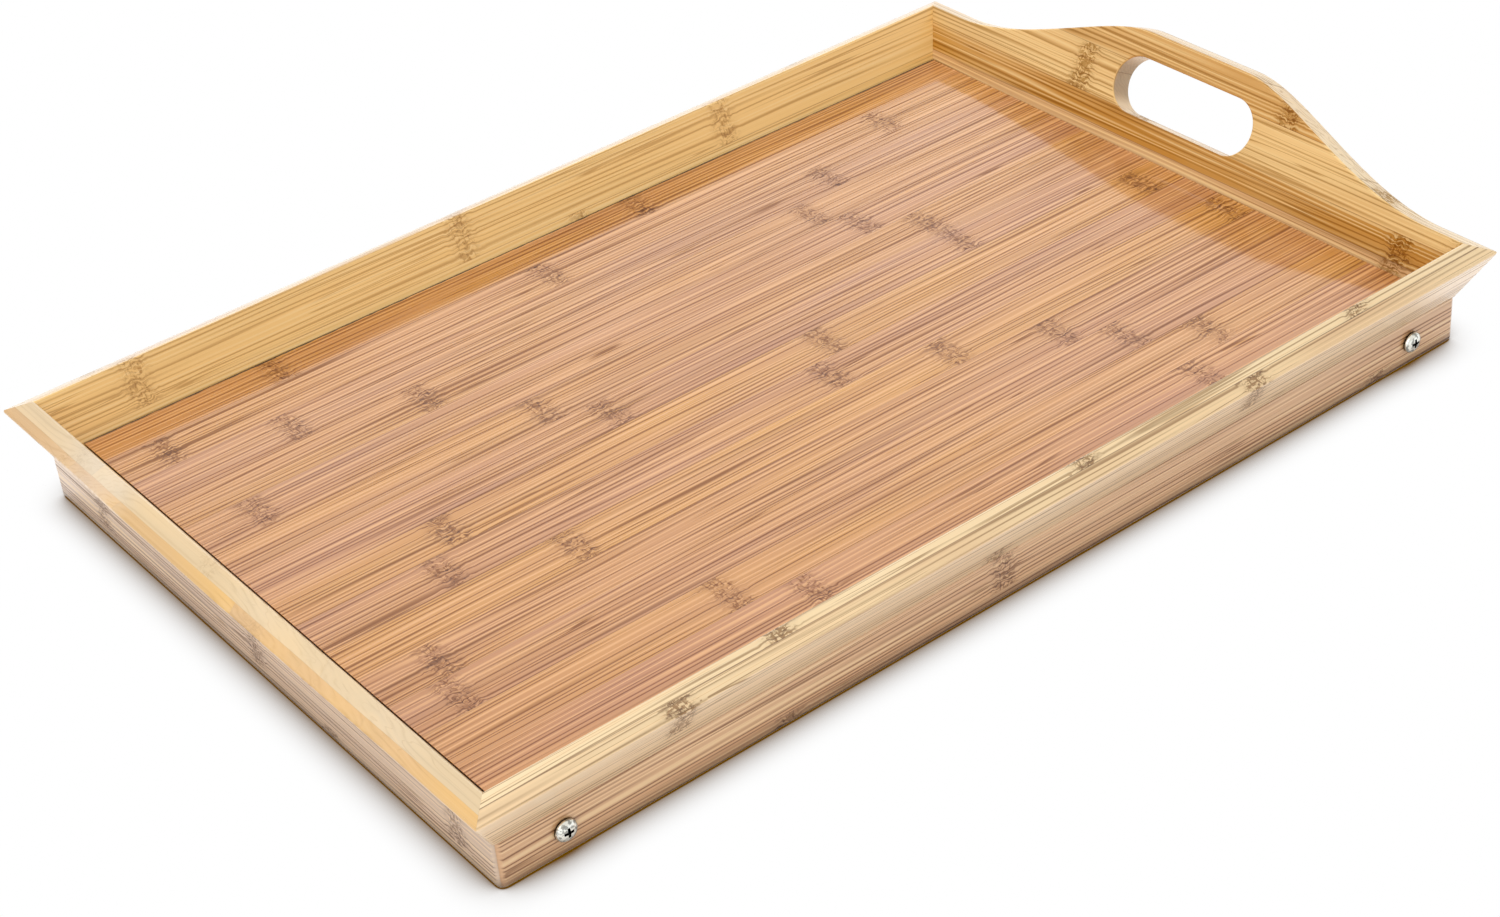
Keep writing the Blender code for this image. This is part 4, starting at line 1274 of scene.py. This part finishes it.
class BEDTRAY_OT_pivot_fittings(bpy.types.Operator):
    """Add the screws, washers and lock nuts of the four leg pivots"""

    bl_idname = "bed_tray.pivot_fittings"
    bl_label = "Pivot fittings"

    def turn_screw(self, fittings, reach):
        """A pan head screw, head up, seated at the floor of the bench."""
        radius = fittings.head_diameter / 2
        dome = fittings.head_height - fittings.head_edge
        ball = {"segments": 48, "ring_count": 32, "radius": radius}
        screw = take(bpy.ops.mesh.primitive_uv_sphere_add, "screw_blank", **ball)
        enter_edit(screw)
        half_ball = {"plane_no": (0, 0, -1), "clear_outer": True, "threshold": SAW_THRESHOLD}
        bpy.ops.mesh.bisect(plane_co=(0, 0, 0), **half_ball)
        bpy.ops.mesh.select_all(action="SELECT")
        bpy.ops.transform.resize(value=(1, 1, dome / radius), center_override=(0, 0, 0))
        bpy.ops.transform.translate(value=(0, 0, fittings.head_edge))
        pick(screw, "EDGE", lambda edge: edge.is_boundary)
        steps = [
            (1, -fittings.head_edge * 0.75),
            (SEAT_SHARE, -fittings.head_edge * 0.25),
            (fittings.shank_diameter / fittings.head_diameter / SEAT_SHARE, 0),
            (1, -reach + SCREW_TIP),
            (0.75, -SCREW_TIP),
        ]
        for width, drop in steps:
            bpy.ops.mesh.extrude_edges_move()
            bpy.ops.transform.resize(value=(width, width, 1), center_override=(0, 0, 0))
            bpy.ops.transform.translate(value=(0, 0, drop))
        bpy.ops.mesh.edge_face_add()
        leave_edit()
        return screw

    def driver_cross(self, fittings):
        """The tapered cross that the driver fits."""
        width, depth = fittings.recess_width, fittings.recess_depth
        top = fittings.head_height + depth
        cross = take_block("driver_cross", (width, width, 2 * depth), (0, 0, fittings.head_height))
        arm = (fittings.recess_span - width) / 2
        for side in ("right", "left", "rear", "front"):
            way = OUTWARD[side]

            def faces_way(face):
                return face.normal.dot(way) > 0.9 and face.calc_center_median().xy.length < width

            pick(cross, "FACE", faces_way)
            bpy.ops.mesh.extrude_region_move()
            bpy.ops.transform.translate(value=way * arm)
        pick(cross, "VERT", lambda vert: vert.co.z < fittings.head_height)
        bpy.ops.transform.resize(value=(0.4, 0.4, 1), center_override=(0, 0, 0))
        pick(cross, "VERT", lambda vert: vert.co.z > top - SAME_PLACE)
        bpy.ops.transform.resize(value=(1.5, 1.5, 1), center_override=(0, 0, 0))
        leave_edit()
        return cross

    def mark_painted_shade_and_reflection(self, screw, fittings):
        """Marks the faces of the recess and of the head's straight rim, where shade and dark reflections are
        painted.
        """
        radius = fittings.head_diameter / 2
        dome = fittings.head_height - fittings.head_edge
        mark = screw.data.attributes.new("painted_shade_and_reflection", "FLOAT", "FACE")
        for face, value in zip(screw.data.polygons, mark.data):
            across = min(face.center.xy.length / radius, 1)
            surface = fittings.head_edge + dome * math.sqrt(1 - across**2)
            in_recess = across < 0.7 and 0 < face.center.z < surface - 0.0001
            in_rim = across > 0.9 and face.center.z < fittings.head_edge
            value.value = 1.0 if in_recess or in_rim else 0.0

    def turn_washer(self, fittings, bore):
        """A flat washer, on the floor of the bench."""
        thickness = fittings.washer_thickness
        washer = take_rod("washer_blank", fittings.washer_diameter, thickness, (0, 0, thickness / 2))
        leave_edit()
        drill(washer, bore)
        ease_edges(washer, WASHER_EASING, [(1, lambda edge: rise_of(edge) < 0.0001)], 2)
        shade(washer)
        return washer

    def turn_nut(self, fittings, bore):
        """A lock nut on its collar, on the floor of the bench."""
        across = fittings.nut_flats / math.cos(math.pi / 6)
        height = fittings.nut_height - fittings.collar_height
        collar = fittings.collar_height
        nut = take_rod("nut_blank", across, height, (0, 0, collar + height / 2), 6)
        leave_edit()
        ease_edges(nut, NUT_EASING, [(1, lambda edge: True)], 2)
        ring = take_rod("collar", fittings.collar_diameter, 2 * collar, (0, 0, collar))
        leave_edit()
        carve(nut, ring, "UNION")
        drill(nut, bore)
        shade(nut)
        return nut

    def execute(self, context):
        tray = settings()
        fittings, base, legs = tray["fittings"], tray["base"], tray["legs"]
        seat = SCREW_TOP - fittings.head_height - base.setback
        apron_inner = APRON_WIDTH / 2 - base.apron_thickness
        washer_inner = apron_inner - fittings.clearance - fittings.washer_thickness
        nut_inner = apron_inner - legs.inset - legs.thickness - fittings.clearance - fittings.nut_height
        screw = self.turn_screw(fittings, seat - nut_inner + SCREW_PAST_NUT)
        carve(screw, self.driver_cross(fittings))
        self.mark_painted_shade_and_reflection(screw, fittings)
        shade(screw)
        washer = self.turn_washer(fittings, bore_of(tray))
        nut = self.turn_nut(fittings, bore_of(tray))
        material = zinc_material(tray["finish"])
        kinds = (("screw", screw, seat), ("washer", washer, washer_inner), ("nut", nut, nut_inner))
        for side in ("front", "rear"):
            for end in ("left", "right"):
                for kind, blank, distance in kinds:
                    name = side + "_" + end + "_" + kind
                    piece = copy_piece(blank, name + "_piece")
                    matrix = upright_place(side, distance, PIVOT[2])
                    matrix.translation += OUTWARD[end] * PIVOT[0]
                    place_piece(piece, matrix)
                    hand_over(piece, name, material)
        for blank in (screw, washer, nut):
            bpy.data.objects.remove(blank)
        return {"FINISHED"}


class BEDTRAY_OT_studio(bpy.types.Operator):
    """Add the floor, the lamps, the surrounding light and the camera"""

    bl_idname = "bed_tray.studio"
    bl_label = "Studio"

    def add_floor(self, studio):
        """A wide pale floor that keeps the tray's shadow. The legs swing down through an opening in it.

        The camera looks through the floor, which carries only a painted contact shadow close to the tray,
        taken from ambient occlusion.
        """
        grid = {"x_subdivisions": 3, "y_subdivisions": 3, "size": FLOOR_SIZE}
        floor = take(bpy.ops.mesh.primitive_grid_add, "studio_floor", location=(0, 0, -FLOOR_DROP), **grid)
        enter_edit(floor)
        pick(floor, "FACE", lambda face: face.calc_center_median().length < 1)
        opening = [(size - OPENING_INSET) * 3 / FLOOR_SIZE for size in (APRON_LENGTH, APRON_WIDTH)]
        bpy.ops.transform.resize(value=(*opening, 1))
        bpy.ops.mesh.delete(type="FACE")
        bpy.ops.object.mode_set(mode="OBJECT")
        material, nodes, shader = new_material("studio_floor")
        path = nodes.put("LightPath").outputs
        open_floor = nodes.put("AmbientOcclusion", {"Distance": studio.contact}, samples=64).outputs["AO"]
        # Painted shade: the floor's own colour darkens close to the tray
        away = nodes.ease(open_floor, 0.5, 0.74)
        glow = nodes.times(nodes.ease(open_floor, 0.5, 0.94), studio.floor_glow, path["Is Glossy Ray"])
        inputs = {
            "Base Color": nodes.mix(away, rgba(studio.floor_shade), rgba(studio.floor)),
            "Roughness": 0.9,
            "Specular IOR Level": 0.1,
            "Emission Color": (0.915, 0.925, 1, 1),
            "Emission Strength": glow,
        }
        nodes.feed(shader, inputs)
        # A painted contact shadow, from ambient occlusion, tints the floor for the camera
        hidden = nodes.minus(1.0, open_floor)
        hidden = nodes.times(hidden, hidden, studio.shadow_depth, clamp=True)
        film = nodes.mix(hidden, (1, 1, 1, 1), rgba(studio.shadow))
        film = nodes.put("BsdfTransparent", {"Color": film}).outputs[0]
        surface = nodes.put("MixShader", {0: path["Is Camera Ray"], 1: shader.outputs[0], 2: film})
        nodes.feed(material.node_tree.nodes["Material Output"], {"Surface": surface.outputs[0]})
        floor.data.materials.append(material)

    def add_lamp(self, name, place, width, depth, watts):
        """A soft box that faces the tray."""
        bpy.ops.object.select_all(action="DESELECT")
        bpy.ops.object.light_add(type="AREA", location=place)
        lamp = bpy.context.object
        lamp.name = name
        lamp.data.shape = "RECTANGLE"
        lamp.data.size = width
        lamp.data.size_y = depth
        lamp.data.energy = watts
        lamp.rotation_euler = Vector(place).to_track_quat("Z", "Y").to_euler()

    def add_world(self, studio):
        """White to the camera and in reflections, and a softer strength on the tray."""
        world = bpy.data.worlds.new("studio")
        bpy.context.scene.world = world
        world.use_nodes = True
        nodes = Nodes(world.node_tree)
        path = nodes.put("LightPath").outputs
        rays = [path["Is " + kind + " Ray"] for kind in ("Camera", "Glossy", "Transmission")]
        strength = nodes.either(nodes.math("MAXIMUM", *rays), studio.ambient, 1.0)
        background = world.node_tree.nodes["Background"]
        nodes.feed(background, {"Color": (1, 1, 1, 1), "Strength": strength})

    def add_camera(self, studio):
        """The camera, placed as the photograph was taken, with its slight tilt."""
        bpy.ops.object.select_all(action="DESELECT")
        bpy.ops.object.camera_add()
        camera = bpy.context.object
        camera.name = "studio_camera"
        right = Vector((0.7807207, -0.6196190, -0.0809170))
        down = Vector((-0.4060371, -0.4045993, -0.8194103))
        forward = Vector((0.4749832, 0.6725859, -0.5674673))
        camera.matrix_world = placement(right, -down, -forward, (-0.534053, -0.746360, 0.612911))
        camera.data.sensor_fit = "HORIZONTAL"
        camera.data.sensor_width = 36
        camera.data.lens = studio.lens
        camera.data.clip_start = 0.01
        bpy.context.scene.camera = camera

    def execute(self, context):
        studio = settings()["studio"]
        self.add_floor(studio)
        self.add_lamp("overhead_soft_box", (-0.2, 0.3, 2.4), 2.4, 2.4, studio.overhead)
        self.add_lamp("rear_soft_box", (1.23, 1.75, 1.47), 2.6, 2.0, studio.rear)
        self.add_lamp("key_soft_box", (-1.4, -1.2, 0.7), 2.0, 2.0, studio.key)
        self.add_world(studio)
        self.add_camera(studio)
        context.scene.view_settings.view_transform = "Standard"
        return {"FINISHED"}


class BEDTRAY_PT_sidebar(bpy.types.Panel):
    """Lists the tray's pieces and their sizes"""

    bl_idname = "BEDTRAY_PT_sidebar"
    bl_label = "Bed tray"
    bl_space_type = "VIEW_3D"
    bl_region_type = "UI"
    bl_category = "Bed tray"

    def draw(self, context):
        for operator in OPERATORS:
            self.layout.operator(operator.bl_idname)
        for name in GROUPS:
            group = getattr(context.scene, "bed_tray_" + name)
            box = self.layout.box()
            box.label(text=name.capitalize())
            for key in group.bl_rna.properties.keys():
                if key not in ("rna_type", "name"):
                    box.prop(group, key)


GROUPS = {
    "rim": BedTrayRim,
    "handles": BedTrayHandles,
    "base": BedTrayBase,
    "legs": BedTrayLegs,
    "fittings": BedTrayFittings,
    "finish": BedTrayFinish,
    "studio": BedTrayStudio,
}
OPERATORS = (
    BEDTRAY_OT_panel,
    BEDTRAY_OT_rails,
    BEDTRAY_OT_handle_boards,
    BEDTRAY_OT_aprons,
    BEDTRAY_OT_leg_frames,
    BEDTRAY_OT_pivot_fittings,
    BEDTRAY_OT_studio,
)


def register():
    """Registers the classes and hangs the settings on the scene."""
    for name, group in GROUPS.items():
        bpy.utils.register_class(group)
        setattr(bpy.types.Scene, "bed_tray_" + name, PointerProperty(type=group))
    for operator in OPERATORS:
        bpy.utils.register_class(operator)
    bpy.utils.register_class(BEDTRAY_PT_sidebar)


def unregister():
    """Takes everything off again."""
    bpy.utils.unregister_class(BEDTRAY_PT_sidebar)
    for operator in reversed(OPERATORS):
        bpy.utils.unregister_class(operator)
    for name, group in reversed(GROUPS.items()):
        delattr(bpy.types.Scene, "bed_tray_" + name)
        bpy.utils.unregister_class(group)


def main():
    """Builds the tray and its studio."""
    register()
    bpy.ops.bed_tray.panel()
    bpy.ops.bed_tray.rails()
    bpy.ops.bed_tray.handle_boards()
    bpy.ops.bed_tray.aprons()
    bpy.ops.bed_tray.leg_frames()
    bpy.ops.bed_tray.pivot_fittings()
    bpy.ops.bed_tray.studio()


if __name__ == "__main__":
    main()
